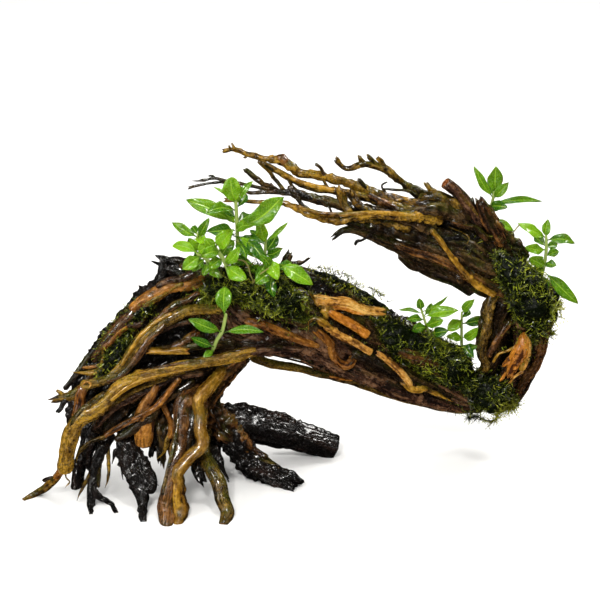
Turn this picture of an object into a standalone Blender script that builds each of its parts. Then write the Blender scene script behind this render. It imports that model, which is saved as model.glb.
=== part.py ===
"""Moss tree on driftwood: a horn-shaped root that stands on its legs, reaches out to the right and
curls back over itself, with moss pads and leafy shoots growing on it.

The tree was laid out over its front view. A place is a column and a row of that view's grid of
squares, and how many millimetres it lies behind the front feet. The function spot() turns that
into metres. +X runs right, +Y away from the viewer and +Z up, and the floor is at Z = 0."""

import math

import bmesh
import bpy
from mathutils import Vector

# Driving dimensions, in metres. The front view's width makes the tree about 0.36 m long.
VIEW_WIDTH = 0.382
VIEW_DISTANCE = 1.05
VIEW_TILT = math.radians(22.0)
MM = 0.001
TOUCH_GAP = 0.3 * MM
WELD_DISTANCE = 0.01 * MM
LEAF_THICKNESS = 0.8 * MM
LEAF_FLATS = 4
SHARP_ANGLE = math.radians(50)

# The front view's grid of squares, counted from its top left corner
SQUARES_ACROSS = 600
GRID_MIDDLE = SQUARES_ACROSS / 2
SQUARE = VIEW_WIDTH / SQUARES_ACROSS

# What the middle of the front view looks at, and the row of the front feet, from the origin
VIEW_MIDDLE_RIGHT = -0.002
VIEW_MIDDLE_UP = 0.1267
FRONT_FEET_BACK = -0.0546

# How finely the round limbs are cut into flats
RING_EVERY = 17 * MM
THIN_LIMB = 3.2 * MM
ROUND_SIDES_THICK = 2
ROUND_SIDES_THIN = 1

FLOOR = None

# Each limb of the driftwood is one or more round branches: (column, row, depth, radius in mm).
# A depth of FLOOR puts that point on the floor.
WOOD = {
    "base_log": {
        "tone": "charred",
        "branches": [
            [(254, 340, 73, 6.5), (230, 364, 71, 8), (210, 388, 68, 9), (206, 408, 68, 10.5),
             (224, 425, 72, 13), (250, 426, 78, 11.5), (285, 433, 82, 9.5), (316, 441, 86, 8.5),
             (336, 447, 87, 8)],
            [(214, 418, 70, 13), (246, 455, 58, 8), (270, 471, 49, 6.5), (294, 484, 39, 5)],
            [(208, 430, 68, 11), (216, 455, 60, 6.5), (229, 479, 46, 2)],
        ],
    },
    "trunk_core": {
        "tone": "brown",
        "branches": [
            [(206, 296, 64, 10), (240, 318, 65, 13), (290, 328, 71, 14), (340, 345, 77, 13.5),
             (390, 366, 83, 11.5), (440, 385, 89, 10.5), (482, 396, 94, 8.5)],
            [(256, 306, 60, 7), (300, 313, 64, 9.5), (340, 322, 70, 9.5), (380, 340, 76, 8.5),
             (420, 360, 83, 8), (460, 380, 88, 6)],
            [(313, 329, 60, 2.8), (326, 339, 60, 2.9), (332, 353, 62, 2.9), (343, 364, 63, 3.1),
             (353, 356, 67, 2.4)],
        ],
    },
    "crown_knuckle": {
        "tone": "charred",
        "branches": [
            [(170, 266, 70, 5), (198, 276, 74, 11), (228, 290, 84, 12), (256, 302, 92, 9)],
            [(200, 290, 74, 12), (206, 330, 74, 14), (208, 372, 70, 12.5), (200, 400, 66, 9.5)],
        ],
    },
    "trunk_low_root": {
        "tone": "olive",
        "branches": [
            [(254, 357, 70, 3), (290, 365, 73, 3), (325, 374, 78, 3), (362, 383, 83, 3.8),
             (405, 397, 89, 4.2), (450, 405, 94, 4.4), (484, 408, 98, 4)],
        ],
    },
    "trunk_ridge_root": {
        "tone": "charred",
        "branches": [
            [(250, 280, 78, 7), (292, 278, 83, 8), (330, 291, 89, 7.5), (370, 311, 94, 7),
             (405, 329, 98, 7), (440, 348, 101, 7), (470, 366, 103, 6.5)],
            [(284, 274, 80, 4), (291, 259, 80, 2.4)],
        ],
    },
    "trunk_torn_root": {
        "tone": "orange",
        "branches": [
            [(308, 297, 56, 2.2), (318, 304, 57, 3.8), (332, 303, 58, 3.8), (352, 308, 61, 3.4),
             (380, 313, 67, 2.2)],
            [(325, 304, 57, 3), (327, 315, 57, 2.2), (346, 323, 59, 2.9), (367, 336, 62, 2.7)],
        ],
    },
    "trunk_pale_root": {
        "tone": "golden",
        "branches": [
            [(309, 329, 52, 1.8), (313, 319, 52, 2.1), (330, 329, 53, 2.4), (352, 341, 57, 2.4),
             (380, 356, 64, 2.3), (406, 379, 72, 2.2), (427, 390, 77, 2), (450, 401, 83, 1.2)],
        ],
    },
    "bend_outer_root": {
        "tone": "brown",
        "branches": [
            [(482, 402, 97, 7), (502, 401, 98, 7.5), (518, 385, 98, 7.5), (531, 357, 98, 7.5),
             (541, 328, 98, 7.5), (543, 302, 98, 8.5), (532, 280, 96, 9)],
        ],
    },
    "bend_inner_root": {
        "tone": "olive",
        "branches": [
            [(476, 382, 89, 6), (491, 366, 87, 6), (495, 340, 87, 6), (498, 314, 89, 7),
             (508, 296, 91, 7)],
        ],
    },
    "bend_front_root": {
        "tone": "orange",
        "branches": [
            [(500, 392, 85, 6), (514, 370, 83, 7), (524, 340, 84, 7.5), (522, 308, 87, 9)],
        ],
    },
    "bend_rear_root": {
        "tone": "charred",
        "branches": [
            [(488, 392, 109, 4.5), (508, 374, 112, 5.5), (519, 338, 113, 6), (519, 302, 111, 6.5),
             (506, 274, 107, 6)],
        ],
    },
    "arm_core": {
        "tone": "brown",
        "branches": [
            [(524, 286, 95, 12), (500, 262, 95, 12), (470, 246, 94, 10.5), (438, 236, 92, 8),
             (410, 227, 89, 6)],
            [(512, 298, 92, 7), (480, 286, 91, 6), (446, 270, 90, 6), (412, 253, 88, 5.4),
             (384, 240, 86, 4.2), (358, 232, 83, 3), (337, 235, 81, 2.6)],
        ],
    },
    "arm_long_branch": {
        "tone": "olive",
        "branches": [
            [(482, 234, 98, 8.5), (454, 217, 98, 7.5), (425, 207, 96, 5), (392, 198, 94, 3.6),
             (363, 190, 92, 3.1), (328, 177, 90, 2.8), (297, 171, 88, 2.9), (280, 163, 87, 3.4),
             (258, 159, 86, 2.2), (225, 151, 86, 1.8)],
        ],
    },
    "arm_low_branch": {
        "tone": "olive",
        "branches": [
            [(462, 236, 84, 5), (434, 222, 80, 4), (407, 217, 77, 2.8), (367, 214, 75, 2.6),
             (334, 219, 74, 2.8), (313, 213, 74, 2.7), (290, 206, 74, 2.3), (258, 202, 74, 2.1),
             (226, 200, 74, 1.5)],
            [(362, 218, 76, 2.4), (350, 193, 78, 2)],
        ],
    },
    "arm_fork_branch": {
        "tone": "charred",
        "branches": [
            [(436, 230, 88, 6), (408, 220, 85, 4.6), (386, 213, 83, 3.6), (357, 209, 81, 3),
             (330, 203, 80, 2.8), (300, 196, 79, 2.6), (270, 190, 78, 2), (241, 183, 77, 1.6),
             (214, 178, 77, 1.4), (190, 181, 77, 1.2)],
            [(282, 192, 79, 1.8), (262, 182, 81, 1.6), (246, 170, 82, 1.4)],
        ],
    },
    "arm_middle_branch": {
        "tone": "olive",
        "branches": [
            [(424, 214, 90, 4), (398, 207, 88, 3.2), (370, 199, 86, 2.8), (340, 190, 85, 2.6),
             (310, 185, 84, 2.4), (284, 175, 84, 2.2), (264, 166, 83, 1.8)],
        ],
    },
    "arm_high_branch": {
        "tone": "olive",
        "branches": [
            [(470, 226, 106, 6), (442, 213, 105, 4.4), (419, 196, 104, 3), (402, 182, 104, 2.8),
             (384, 168, 103, 2.4), (364, 164, 102, 2.3), (347, 168, 102, 2.1), (334, 161, 102, 1.6)],
        ],
    },
    "arm_cut_stub": {
        "tone": "brown",
        "branches": [
            [(476, 222, 90, 5), (463, 203, 88, 3.9), (444, 182, 86, 3.4)],
        ],
    },
    "front_root": {
        "tone": "golden",
        "branches": [
            [(290, 350, 53, 3), (252, 352, 47, 3.8), (212, 361, 39, 3.6), (178, 368, 33, 3.8),
             (135, 380, 24, 3.8), (112, 394, 19.5, 4.4), (93, 411, 17.5, 5), (75, 428, 16, 5.5),
             (67, 452, 15, 5.5), (65, 473, 14, 4.8)],
        ],
    },
    "second_root": {
        "tone": "golden",
        "branches": [
            [(222, 308, 50, 3), (196, 309, 46, 3.4), (176, 315, 42, 4.4), (157, 326, 40, 5),
             (142, 340, 36, 4.9), (133, 354, 33, 4.6), (122, 369, 30, 4.2), (104, 381, 28.5, 3.6),
             (82, 386, 28, 3.8)],
            [(188, 300, 47, 2), (176, 305, 45, 2.4), (162, 315, 42, 2.4)],
            [(86, 386, 28, 4), (72, 395, 27, 3), (55, 400, 26, 2.3)],
            [(82, 387, 28, 4), (80, 403, 25, 3.3), (75, 422, 21, 3)],
        ],
    },
    "third_root": {
        "tone": "brown",
        "branches": [
            [(206, 276, 58, 4), (186, 282, 54, 4.8), (160, 293, 51, 4.8), (140, 307, 48, 4.6),
             (119, 326, 45, 4.6), (102, 350, 42, 4), (84, 370, 40, 2.4), (71, 372, 38, 1.4)],
        ],
    },
    "middle_root": {
        "tone": "golden",
        "branches": [
            [(236, 344, 52, 5), (206, 347, 46, 3.6), (184, 350, 41, 2.9), (149, 351, 38, 2.9)],
        ],
    },
    "back_root": {
        "tone": "charred",
        "branches": [
            [(194, 276, 78, 9), (158, 297, 68, 11), (122, 336, 58, 11), (98, 370, 50, 9.5),
             (80, 404, 44, 7), (72, 430, 40, 4)],
            [(192, 330, 62, 10), (160, 345, 55, 10), (126, 372, 50, 9), (104, 400, 46, 7)],
            [(208, 352, 60, 7), (172, 360, 53, 7), (134, 381, 47, 7), (100, 404, 42, 5.5)],
        ],
    },
    "rear_root": {
        "tone": "charred",
        "branches": [
            [(198, 300, 86, 10), (162, 326, 84, 10.5), (132, 370, 74, 9), (104, 420, 62, 6.5),
             (86, 449, 54, 5), (80, 468, 49, 4.4), (77, 486, FLOOR, 4)],
        ],
    },
    "inner_root": {
        "tone": "brown",
        "branches": [
            [(214, 362, 56, 9), (180, 384, 49, 8.5), (150, 408, 43, 8.5), (116, 432, 38, 6)],
            [(196, 382, 52, 7), (168, 406, 45, 6.4), (159, 430, 38, 5.4), (160, 448, 34, 4.4),
             (162, 458, 31, 2.4)],
            [(166, 410, 36, 2.2), (171, 428, 32, 2.1), (165, 450, 29, 1.9), (158, 458, 28.5, 1.5)],
        ],
    },
    "hanging_root": {
        "tone": "orange",
        "branches": [
            [(157, 380, 36, 3.4), (152, 394, 33, 3.8), (146, 407, 31.5, 4.2), (144, 424, 31, 6.6),
             (144, 438, 31, 5.9), (144, 446, 31, 4)],
        ],
    },
    "thin_root": {
        "tone": "orange",
        "branches": [
            [(170, 396, 31, 2.4), (149, 412, 27, 2.4), (128, 423, 24.5, 2.2), (103, 438, 21, 2),
             (86, 446, 18.5, 1.8), (77, 457, 17, 1.4)],
        ],
    },
    "brown_leg": {
        "tone": "brown",
        "branches": [
            [(204, 388, 48, 6), (185, 405, 37, 6.6), (183, 430, 27, 5.6), (176, 458, 16, 4.8),
             (169, 482, 8.5, 4.3), (165.5, 505, 2.5, 5.5), (166, 520, FLOOR, 5.6)],
        ],
    },
    "golden_leg": {
        "tone": "golden",
        "branches": [
            [(226, 370, 50, 4), (211, 384, 41, 4.3), (199, 401, 34, 5), (200, 429, 25, 4.3),
             (201, 444, 20, 4.5), (178, 473, 10.5, 4.7), (179, 496, 5, 4.5),
             (181, 520, FLOOR, 4.8)],
        ],
    },
    "olive_leg": {
        "tone": "olive",
        "branches": [
            [(206, 430, 58, 5), (203, 444, 38, 4.8), (210, 468, 20, 4.2), (220, 492, 9, 4.7),
             (227, 511, 2, 4.3), (226, 520, FLOOR, 4)],
        ],
    },
    "black_leg": {
        "tone": "charred",
        "branches": [
            [(134, 418, 40, 5), (122, 440, 32, 5.6), (125, 462, 25, 5.6), (139, 484, 17, 5),
             (143, 500, 10, 3.4), (143, 519, FLOOR, 2.2)],
            [(128, 438, 33, 5), (139, 464, 27, 4.8), (151, 482, 20, 3.6)],
        ],
    },
    "forked_leg": {
        "tone": "charred",
        "branches": [
            [(112, 432, 34, 4.5), (102, 452, 28, 3.6), (95, 474, 22.5, 3.4), (92, 496, 17, 3.2),
             (91, 512, FLOOR, 2)],
            [(94, 494, 18, 3), (107, 500, 17, 2.2), (116, 512, FLOOR, 1.4)],
            [(104, 404, 42, 6), (91, 426, 38, 6), (82, 458, 31, 3.4), (76, 482, 26, 1.4)],
        ],
    },
    "left_foot": {
        "tone": "olive",
        "branches": [
            [(66, 464, 17, 3), (57, 476, 21.5, 2.8), (48, 486, 26, 2.7), (37, 493, 27.5, 2.4),
             (27, 499, FLOOR, 2)],
        ],
    },
}

# Each moss pad is a swelling along a route: (column, row, depth, radius in mm) to its frond tips
MOSS = {
    "moss_crown": [[(206, 296, 52, 3), (228, 284, 54, 11), (258, 288, 54, 13),
                    (286, 304, 55, 10), (302, 316, 58, 3)]],
    "moss_left": [[(150, 306, 46, 2), (132, 317, 48, 6), (116, 336, 46, 6.5), (102, 352, 43, 2)],
                  [(120, 340, 44, 5), (116, 358, 38, 7), (104, 372, 36, 3)]],
    "moss_ridge": [[(306, 272, 86, 2), (328, 278, 88, 7), (354, 291, 92, 7.6), (380, 306, 95, 7),
                    (396, 318, 96, 2)]],
    "moss_trunk": [[(372, 326, 76, 3), (392, 338, 76, 11), (418, 350, 81, 13),
                    (446, 364, 85, 14), (470, 380, 87, 9), (482, 390, 88, 3)]],
    "moss_bend_low": [[(482, 388, 86, 4), (494, 392, 82, 12), (508, 400, 82, 11),
                       (516, 408, 84, 4)]],
    "moss_bend_top": [[(498, 258, 82, 3), (514, 274, 81, 12), (530, 298, 81, 14),
                       (534, 322, 82, 11), (532, 336, 83, 4)],
                      [(532, 288, 96, 12), (544, 306, 99, 12), (549, 328, 99, 5)]],
}

# Each leaf runs from its base to its tip: (column, row, depth) of both, width in mm, how far its
# middle arches in mm, and how far its face is turned from the sky to the viewer in degrees.
SHOOTS = {
    "shoot_crown_main": {
        "stem": [(237, 276, 56, 1.2), (237, 250, 55, 1.1), (236, 222, 55, 1.0), (235, 199, 55, 0.9)],
        "leaves": [
            ((236, 203, 55), (252, 181, 62), 4.5, 1.0, 60),
            ((235, 211, 55), (209, 213, 44), 8.0, 2.5, 55),
            ((236, 224, 55), (250, 216, 74), 6.0, 1.5, 40),
            ((236, 230, 55), (212, 224, 70), 7.0, 2.0, 50),
            ((236, 232, 55), (222, 236, 36), 7.0, 2.0, 50),
        ],
    },
    "shoot_crown_left": {
        "stem": [(212, 274, 56, 1.1), (203, 252, 54, 1.0), (198, 236, 53, 0.8)],
        "leaves": [
            ((198, 238, 53), (177, 221, 58), 5.6, 1.6, 45),
            ((199, 236, 53), (208, 219, 47), 5.0, 2.2, 60),
            ((199, 240, 53), (204, 240, 35), 6.5, 2.0, 35),
        ],
    },
    "shoot_crown_low": {
        "stem": [(222, 278, 50, 1.1), (210, 262, 44, 1.0), (197, 254, 41, 0.8)],
        "leaves": [
            ((198, 255, 41), (172, 246, 48), 6.2, 1.6, 55),
            ((200, 256, 42), (182, 270, 33), 7.6, 1.6, 70),
            ((205, 259, 43), (194, 272, 37), 5.0, 1.2, 60),
        ],
    },
    "shoot_crown_front": {
        "stem": [(232, 280, 50, 1.1), (226, 264, 42, 1.0), (219, 249, 39, 0.8)],
        "leaves": [
            ((219, 251, 39), (232, 230, 30), 8.0, 1.8, 60),
            ((220, 252, 39), (201, 257, 29), 7.0, 1.8, 60),
            ((226, 263, 41), (246, 279, 30), 8.6, 1.6, 72),
            ((223, 258, 41), (210, 268, 32), 5.5, 1.2, 65),
        ],
    },
    "shoot_crown_right": {
        "stem": [(262, 280, 56, 1.2), (265, 258, 56, 1.0), (265, 238, 56, 0.8)],
        "leaves": [
            ((265, 242, 56), (259, 220, 51), 6.5, 1.2, 75),
            ((265, 241, 56), (288, 222, 60), 4.6, 1.6, 45),
            ((265, 256, 56), (277, 236, 64), 6.0, 1.4, 60),
            ((264, 262, 56), (240, 240, 44), 9.0, 2.0, 60),
        ],
    },
    "shoot_crown_far": {
        "stem": [(272, 288, 52, 1.1), (271, 272, 46, 0.9), (277, 264, 43, 0.8)],
        "leaves": [
            ((272, 270, 45), (262, 256, 38), 6.0, 1.4, 60),
            ((272, 278, 47), (274, 297, 38), 6.5, 1.4, 75),
            ((271, 272, 45), (257, 282, 33), 8.6, 1.6, 70),
        ],
    },
    "shoot_front": {
        "stem": [(212, 352, 43, 1.2), (218, 339, 36, 1.1), (223, 331, 33, 1.1), (226, 314, 32, 1.0)],
        "leaves": [
            ((223, 332, 33), (263, 331, 30), 6.6, 3.6, 55),
            ((216, 342, 37), (191, 338, 33), 6.0, 1.2, 60),
        ],
    },
    "shoot_trunk_left": {
        "stem": [(436, 356, 84, 1.0), (428, 334, 85, 0.9), (421, 309, 86, 0.7)],
        "leaves": [
            ((422, 312, 86), (398, 310, 90), 3.2, 1.6, 45),
            ((422, 311, 86), (447, 296, 94), 3.0, 1.2, 45),
            ((421, 310, 86), (419, 300, 84), 4.2, 0.6, 75),
            ((424, 320, 86), (408, 320, 80), 4.6, 1.2, 50),
            ((423, 315, 86), (457, 311, 80), 6.6, 2.4, 50),
            ((426, 326, 85), (440, 322, 76), 6.0, 1.2, 55),
        ],
    },
    "shoot_trunk_right": {
        "stem": [(462, 370, 93, 1.0), (462, 342, 94, 0.9), (462, 311, 95, 0.7)],
        "leaves": [
            ((462, 313, 95), (474, 300, 91), 5.2, 1.0, 60),
            ((462, 318, 95), (449, 329, 87), 7.0, 1.4, 65),
            ((462, 324, 95), (485, 319, 99), 5.6, 1.4, 55),
            ((462, 338, 94), (478, 327, 87), 5.4, 1.2, 60),
            ((462, 342, 94), (448, 336, 89), 5.6, 1.2, 60),
            ((462, 344, 94), (473, 357, 85), 5.6, 1.2, 65),
        ],
    },
    "shoot_arm_top": {
        "stem": [(484, 228, 98, 1.2), (490, 208, 98, 1.0), (495, 190, 98, 0.8)],
        "leaves": [
            ((493, 196, 98), (474, 166, 102), 4.8, 1.2, 50),
            ((493, 198, 98), (509, 182, 94), 5.0, 1.0, 60),
            ((491, 203, 98), (542, 201, 102), 4.6, 2.4, 45),
            ((490, 208, 98), (507, 206, 90), 6.2, 1.2, 60),
        ],
    },
    "shoot_arm_right": {
        "stem": [(538, 288, 98, 1.2), (543, 270, 96, 1.1), (546, 250, 96, 1.0), (546, 236, 96, 0.8)],
        "leaves": [
            ((545, 239, 96), (520, 223, 94), 6.2, 3.4, 50),
            ((546, 238, 96), (548, 220, 98), 5.6, 0.8, 80),
            ((546, 242, 96), (575, 243, 94), 6.2, 4.4, 50),
            ((545, 250, 96), (526, 247, 90), 6.0, 1.4, 55),
            ((546, 258, 96), (557, 251, 98), 5.0, 0.8, 60),
            ((545, 264, 96), (531, 257, 88), 6.6, 1.2, 60),
        ],
    },
}

# The largest leaves are pieces of their own, in the same form as a shoot's leaves
BIG_LEAVES = {
    "leaf_crown_top": ((236, 198, 55), (231, 177, 49), 10.0, 1.2, 80),
    "leaf_crown_right": ((239, 226, 54), (282, 196, 46), 11.0, 2.0, 62),
    "leaf_crown_left": ((233, 222, 57), (186, 200, 62), 8.6, 2.6, 58),
    "leaf_crown_far": ((279, 264, 42), (313, 285, 34), 9.0, 3.0, 60),
    "leaf_front_up": ((226, 312, 32), (225, 286, 34), 9.4, 0.8, 85),
    "leaf_front_left": ((221, 331, 32), (189, 318, 29), 8.0, 1.6, 62),
    "leaf_arm_up": ((495, 188, 98), (496, 166, 96), 8.6, 0.8, 82),
    "leaf_arm_droop": ((546, 272, 96), (578, 304, 92), 7.4, 2.0, 62),
}

# Pieces that meet so many others that the exact Boolean loses them
HARD_TO_CUT = {"moss_bend_top"}

TONES = {
    "golden": ((0.36, 0.20, 0.04), 0.35),
    "olive": ((0.20, 0.13, 0.03), 0.40),
    "brown": ((0.13, 0.06, 0.03), 0.40),
    "orange": ((0.50, 0.19, 0.04), 0.40),
    "charred": ((0.02, 0.017, 0.015), 0.35),
    "moss": ((0.035, 0.065, 0.012), 0.70),
    "stem": ((0.22, 0.35, 0.06), 0.40),
    "leaf": ((0.13, 0.42, 0.03), 0.35),
}


def view_axes():
    """The eye's place, and the directions that are ahead and up in the front view."""
    ahead = Vector((0, math.cos(VIEW_TILT), -math.sin(VIEW_TILT)))
    above = Vector((0, math.sin(VIEW_TILT), math.cos(VIEW_TILT)))
    eye = Vector((VIEW_MIDDLE_RIGHT, 0, VIEW_MIDDLE_UP)) - ahead * VIEW_DISTANCE
    return eye, ahead, above


def spot(column, row, depth):
    """The point seen at that square of the front view, at that depth in mm or on the floor."""
    eye, ahead, above = view_axes()
    step = SQUARE / VIEW_DISTANCE
    ray = ahead + Vector(((column - GRID_MIDDLE) * step, 0, 0)) + above * ((GRID_MIDDLE - row) * step)
    if depth is FLOOR:
        return eye + ray * (-eye.z / ray.z)
    return eye + ray * ((FRONT_FEET_BACK + depth * MM - eye.y) / ray.y)


def curve_through(a, b, c, d, share):
    """The point at a share of the way from b to c on a smooth curve through all four."""
    return 0.5 * (2 * b + (c - a) * share + (2 * a - 5 * b + 4 * c - d) * share**2
                  + (3 * b - a - 3 * c + d) * share**3)


def smooth_route(route):
    """Points and radii along a smooth curve through the route, one at least every RING_EVERY."""
    places = [spot(*stop[:3]) for stop in route]
    sizes = [stop[3] * MM for stop in route]
    last = len(route) - 1
    line = []
    for i in range(last):
        before, after = max(i - 1, 0), min(i + 2, last)
        cuts = max(1, round((places[i + 1] - places[i]).length / RING_EVERY))
        for cut in range(cuts):
            share = cut / cuts
            place = curve_through(places[before], places[i], places[i + 1], places[after], share)
            line.append((place, sizes[i] + (sizes[i + 1] - sizes[i]) * share))
    line.append((places[last], sizes[last]))
    return line


def link(name, mesh, collection):
    made = bpy.data.objects.new(name, mesh)
    collection.objects.link(made)
    return made


def face_outward(work):
    """Turns the faces of a closed body outward if they point inward."""
    if work.calc_volume(signed=True) < 0:
        bmesh.ops.reverse_faces(work, faces=work.faces)


def as_mesh(shape, name, collection):
    """The evaluated shape as a mesh object with welded points. The shape is removed."""
    graph = bpy.context.evaluated_depsgraph_get()
    mesh = bpy.data.meshes.new_from_object(shape.evaluated_get(graph))
    mesh.transform(shape.matrix_world)
    bpy.data.objects.remove(shape)
    work = bmesh.new()
    work.from_mesh(mesh)
    bmesh.ops.remove_doubles(work, verts=work.verts, dist=WELD_DISTANCE)
    face_outward(work)
    work.to_mesh(mesh)
    work.free()
    return link(name, mesh, collection)


def limb(name, route, collection, swell=0.0):
    """A round branch along the route, swell thicker all round."""
    line = smooth_route(route)
    curve = bpy.data.curves.new(name, "CURVE")
    curve.dimensions = "3D"
    curve.bevel_depth = 1.0
    thin = max(stop[3] for stop in route) * MM < THIN_LIMB
    curve.bevel_resolution = ROUND_SIDES_THIN if thin else ROUND_SIDES_THICK
    curve.use_fill_caps = True
    spline = curve.splines.new("POLY")
    spline.points.add(len(line) - 1)
    first_way = (line[0][0] - line[1][0]).normalized()
    last_way = (line[-1][0] - line[-2][0]).normalized()
    below_floor = route[-1][3] * MM if route[-1][2] is FLOOR else 0
    for i, (place, radius) in enumerate(line):
        if i == 0:
            place = place + first_way * swell
        if i == len(line) - 1:
            place = place + last_way * (swell + below_floor)
        spline.points[i].co = (*place, 1)
        spline.points[i].radius = radius + swell
    return as_mesh(link(name, curve, collection), name, collection)


def leaf_line(base, tip, arch, face):
    """The leaf's base, its run to the tip, its sideways direction and its upper face's normal."""
    start, end = spot(*base), spot(*tip)
    along = end - start
    towards_face = Vector((0, -math.sin(math.radians(face)), math.cos(math.radians(face))))
    ahead = along.normalized()
    side = towards_face.cross(ahead).normalized()
    return start, along, side, ahead.cross(side)


def leaf(name, form, collection, swell=0.0):
    """A leaf blade: a coarse ball drawn out to a pointed oval, thin at its edges."""
    base, tip, width, arch, face = form
    start, along, side, normal = leaf_line(base, tip, arch, face)
    mesh = bpy.data.meshes.new(name)
    work = bmesh.new()
    bmesh.ops.create_uvsphere(work, u_segments=LEAF_FLATS, v_segments=LEAF_FLATS, radius=1.0)
    half_width = width * MM / 2 + swell
    half_thick = LEAF_THICKNESS / 2 + swell
    for corner in work.verts:
        across, thick, run = corner.co.x, corner.co.y, corner.co.z
        share = (run + 1) / 2
        rise = arch * MM * 4 * share * (1 - share)
        end_swell = along.normalized() * (run * swell)
        corner.co = (start + along * share + end_swell + side * (across * half_width)
                     + normal * (rise + thick * half_thick))
    face_outward(work)
    work.to_mesh(mesh)
    work.free()
    return link(name, mesh, collection)


def largest_body(work):
    """Deletes every crumb but the body with the most faces."""
    left = set(work.faces)
    bodies = []
    while left:
        body, edge = set(), [left.pop()]
        while edge:
            face = edge.pop()
            body.add(face)
            for near in {f for e in face.edges for f in e.link_faces} & left:
                left.discard(near)
                edge.append(near)
        bodies.append(body)
    biggest = max(bodies, key=lambda faces: sum(f.calc_area() for f in faces))
    crumbs = [f for body in bodies if body is not biggest for f in body]
    bmesh.ops.delete(work, geom=crumbs, context="FACES")


def stand_flat(work):
    """Cuts off what is under the floor and closes the cut with a flat foot."""
    if min(v.co.z for v in work.verts) > 0:
        return
    everything = work.verts[:] + work.edges[:] + work.faces[:]
    cut = bmesh.ops.bisect_plane(work, geom=everything, plane_co=(0, 0, 0), plane_no=(0, 0, 1),
                                 clear_inner=True)
    rim = [e for e in cut["geom_cut"] if isinstance(e, bmesh.types.BMEdge)]
    bmesh.ops.holes_fill(work, edges=rim)


def boxes_meet(a, b):
    """Whether the boxes around two mesh objects meet."""
    for axis in range(3):
        a_span = [v.co[axis] for v in a.data.vertices]
        b_span = [v.co[axis] for v in b.data.vertices]
        if min(a_span) > max(b_span) or min(b_span) > max(a_span):
            return False
    return True


def boolean(target, other, operation, solver):
    modifier = target.modifiers.new(operation.title(), "BOOLEAN")
    modifier.operation = operation
    modifier.solver = solver
    modifier.object = other


def finish_piece(name, shapes, tone, cutters, pieces):
    """Joins the shapes, cuts them back from the pieces made before, and stands them on the floor."""
    first, others = shapes[0], shapes[1:]
    solver = "MANIFOLD" if name in HARD_TO_CUT else "EXACT"
    for other in others:
        boolean(first, other, "UNION", solver)
    for cutter in cutters:
        if any(boxes_meet(shape, cutter) for shape in shapes):
            boolean(first, cutter, "DIFFERENCE", solver)
    made = as_mesh(first, name, pieces)
    work = bmesh.new()
    work.from_mesh(made.data)
    largest_body(work)
    stand_flat(work)
    work.to_mesh(made.data)
    work.free()
    made.data.materials.append(material(tone))
    made.data.shade_smooth()
    made.data.set_sharp_from_angle(angle=SHARP_ANGLE)
    for other in others:
        bpy.data.objects.remove(other)
    return made


def material(tone):
    if tone in bpy.data.materials:
        return bpy.data.materials[tone]
    colour, roughness = TONES[tone]
    made = bpy.data.materials.new(tone)
    made.use_nodes = True
    shader = made.node_tree.nodes["Principled BSDF"]
    shader.inputs["Base Color"].default_value = (*colour, 1)
    shader.inputs["Roughness"].default_value = roughness
    shader.inputs["Metallic"].default_value = 0.0
    return made


def hide_tool(tool):
    tool.hide_render = True
    tool.display_type = "WIRE"
    return tool


def build():
    for old in list(bpy.data.objects):
        bpy.data.objects.remove(old)
    pieces = bpy.data.collections.new("moss_tree_on_driftwood")
    tools = bpy.data.collections.new("cutters")
    for collection in (pieces, tools):
        bpy.context.scene.collection.children.link(collection)
    cutters = []

    for name, wood in WOOD.items():
        shapes = [limb(f"{name}_{i}", route, tools) for i, route in enumerate(wood["branches"])]
        finish_piece(name, shapes, wood["tone"], cutters, pieces)
        cutters += [hide_tool(limb(f"{name}_space_{i}", route, tools, TOUCH_GAP))
                    for i, route in enumerate(wood["branches"])]

    for name, routes in MOSS.items():
        shapes = [limb(f"{name}_{i}", route, tools) for i, route in enumerate(routes)]
        finish_piece(name, shapes, "moss", cutters, pieces)
        cutters += [hide_tool(limb(f"{name}_space_{i}", route, tools, TOUCH_GAP))
                    for i, route in enumerate(routes)]

    for name, shoot in SHOOTS.items():
        shapes = [limb(f"{name}_stem", shoot["stem"], tools)]
        shapes += [leaf(f"{name}_leaf_{i}", form, tools) for i, form in enumerate(shoot["leaves"])]
        finish_piece(name, shapes, "stem", cutters, pieces)
        cutters.append(hide_tool(limb(f"{name}_stem_space", shoot["stem"], tools, TOUCH_GAP)))
        cutters += [hide_tool(leaf(f"{name}_leaf_space_{i}", form, tools, TOUCH_GAP))
                    for i, form in enumerate(shoot["leaves"])]

    for name, form in BIG_LEAVES.items():
        finish_piece(name, [leaf(f"{name}_blade", form, tools)], "leaf", cutters, pieces)
        cutters.append(hide_tool(leaf(f"{name}_space", form, tools, TOUCH_GAP)))


build()
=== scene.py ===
import itertools
import math

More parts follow.
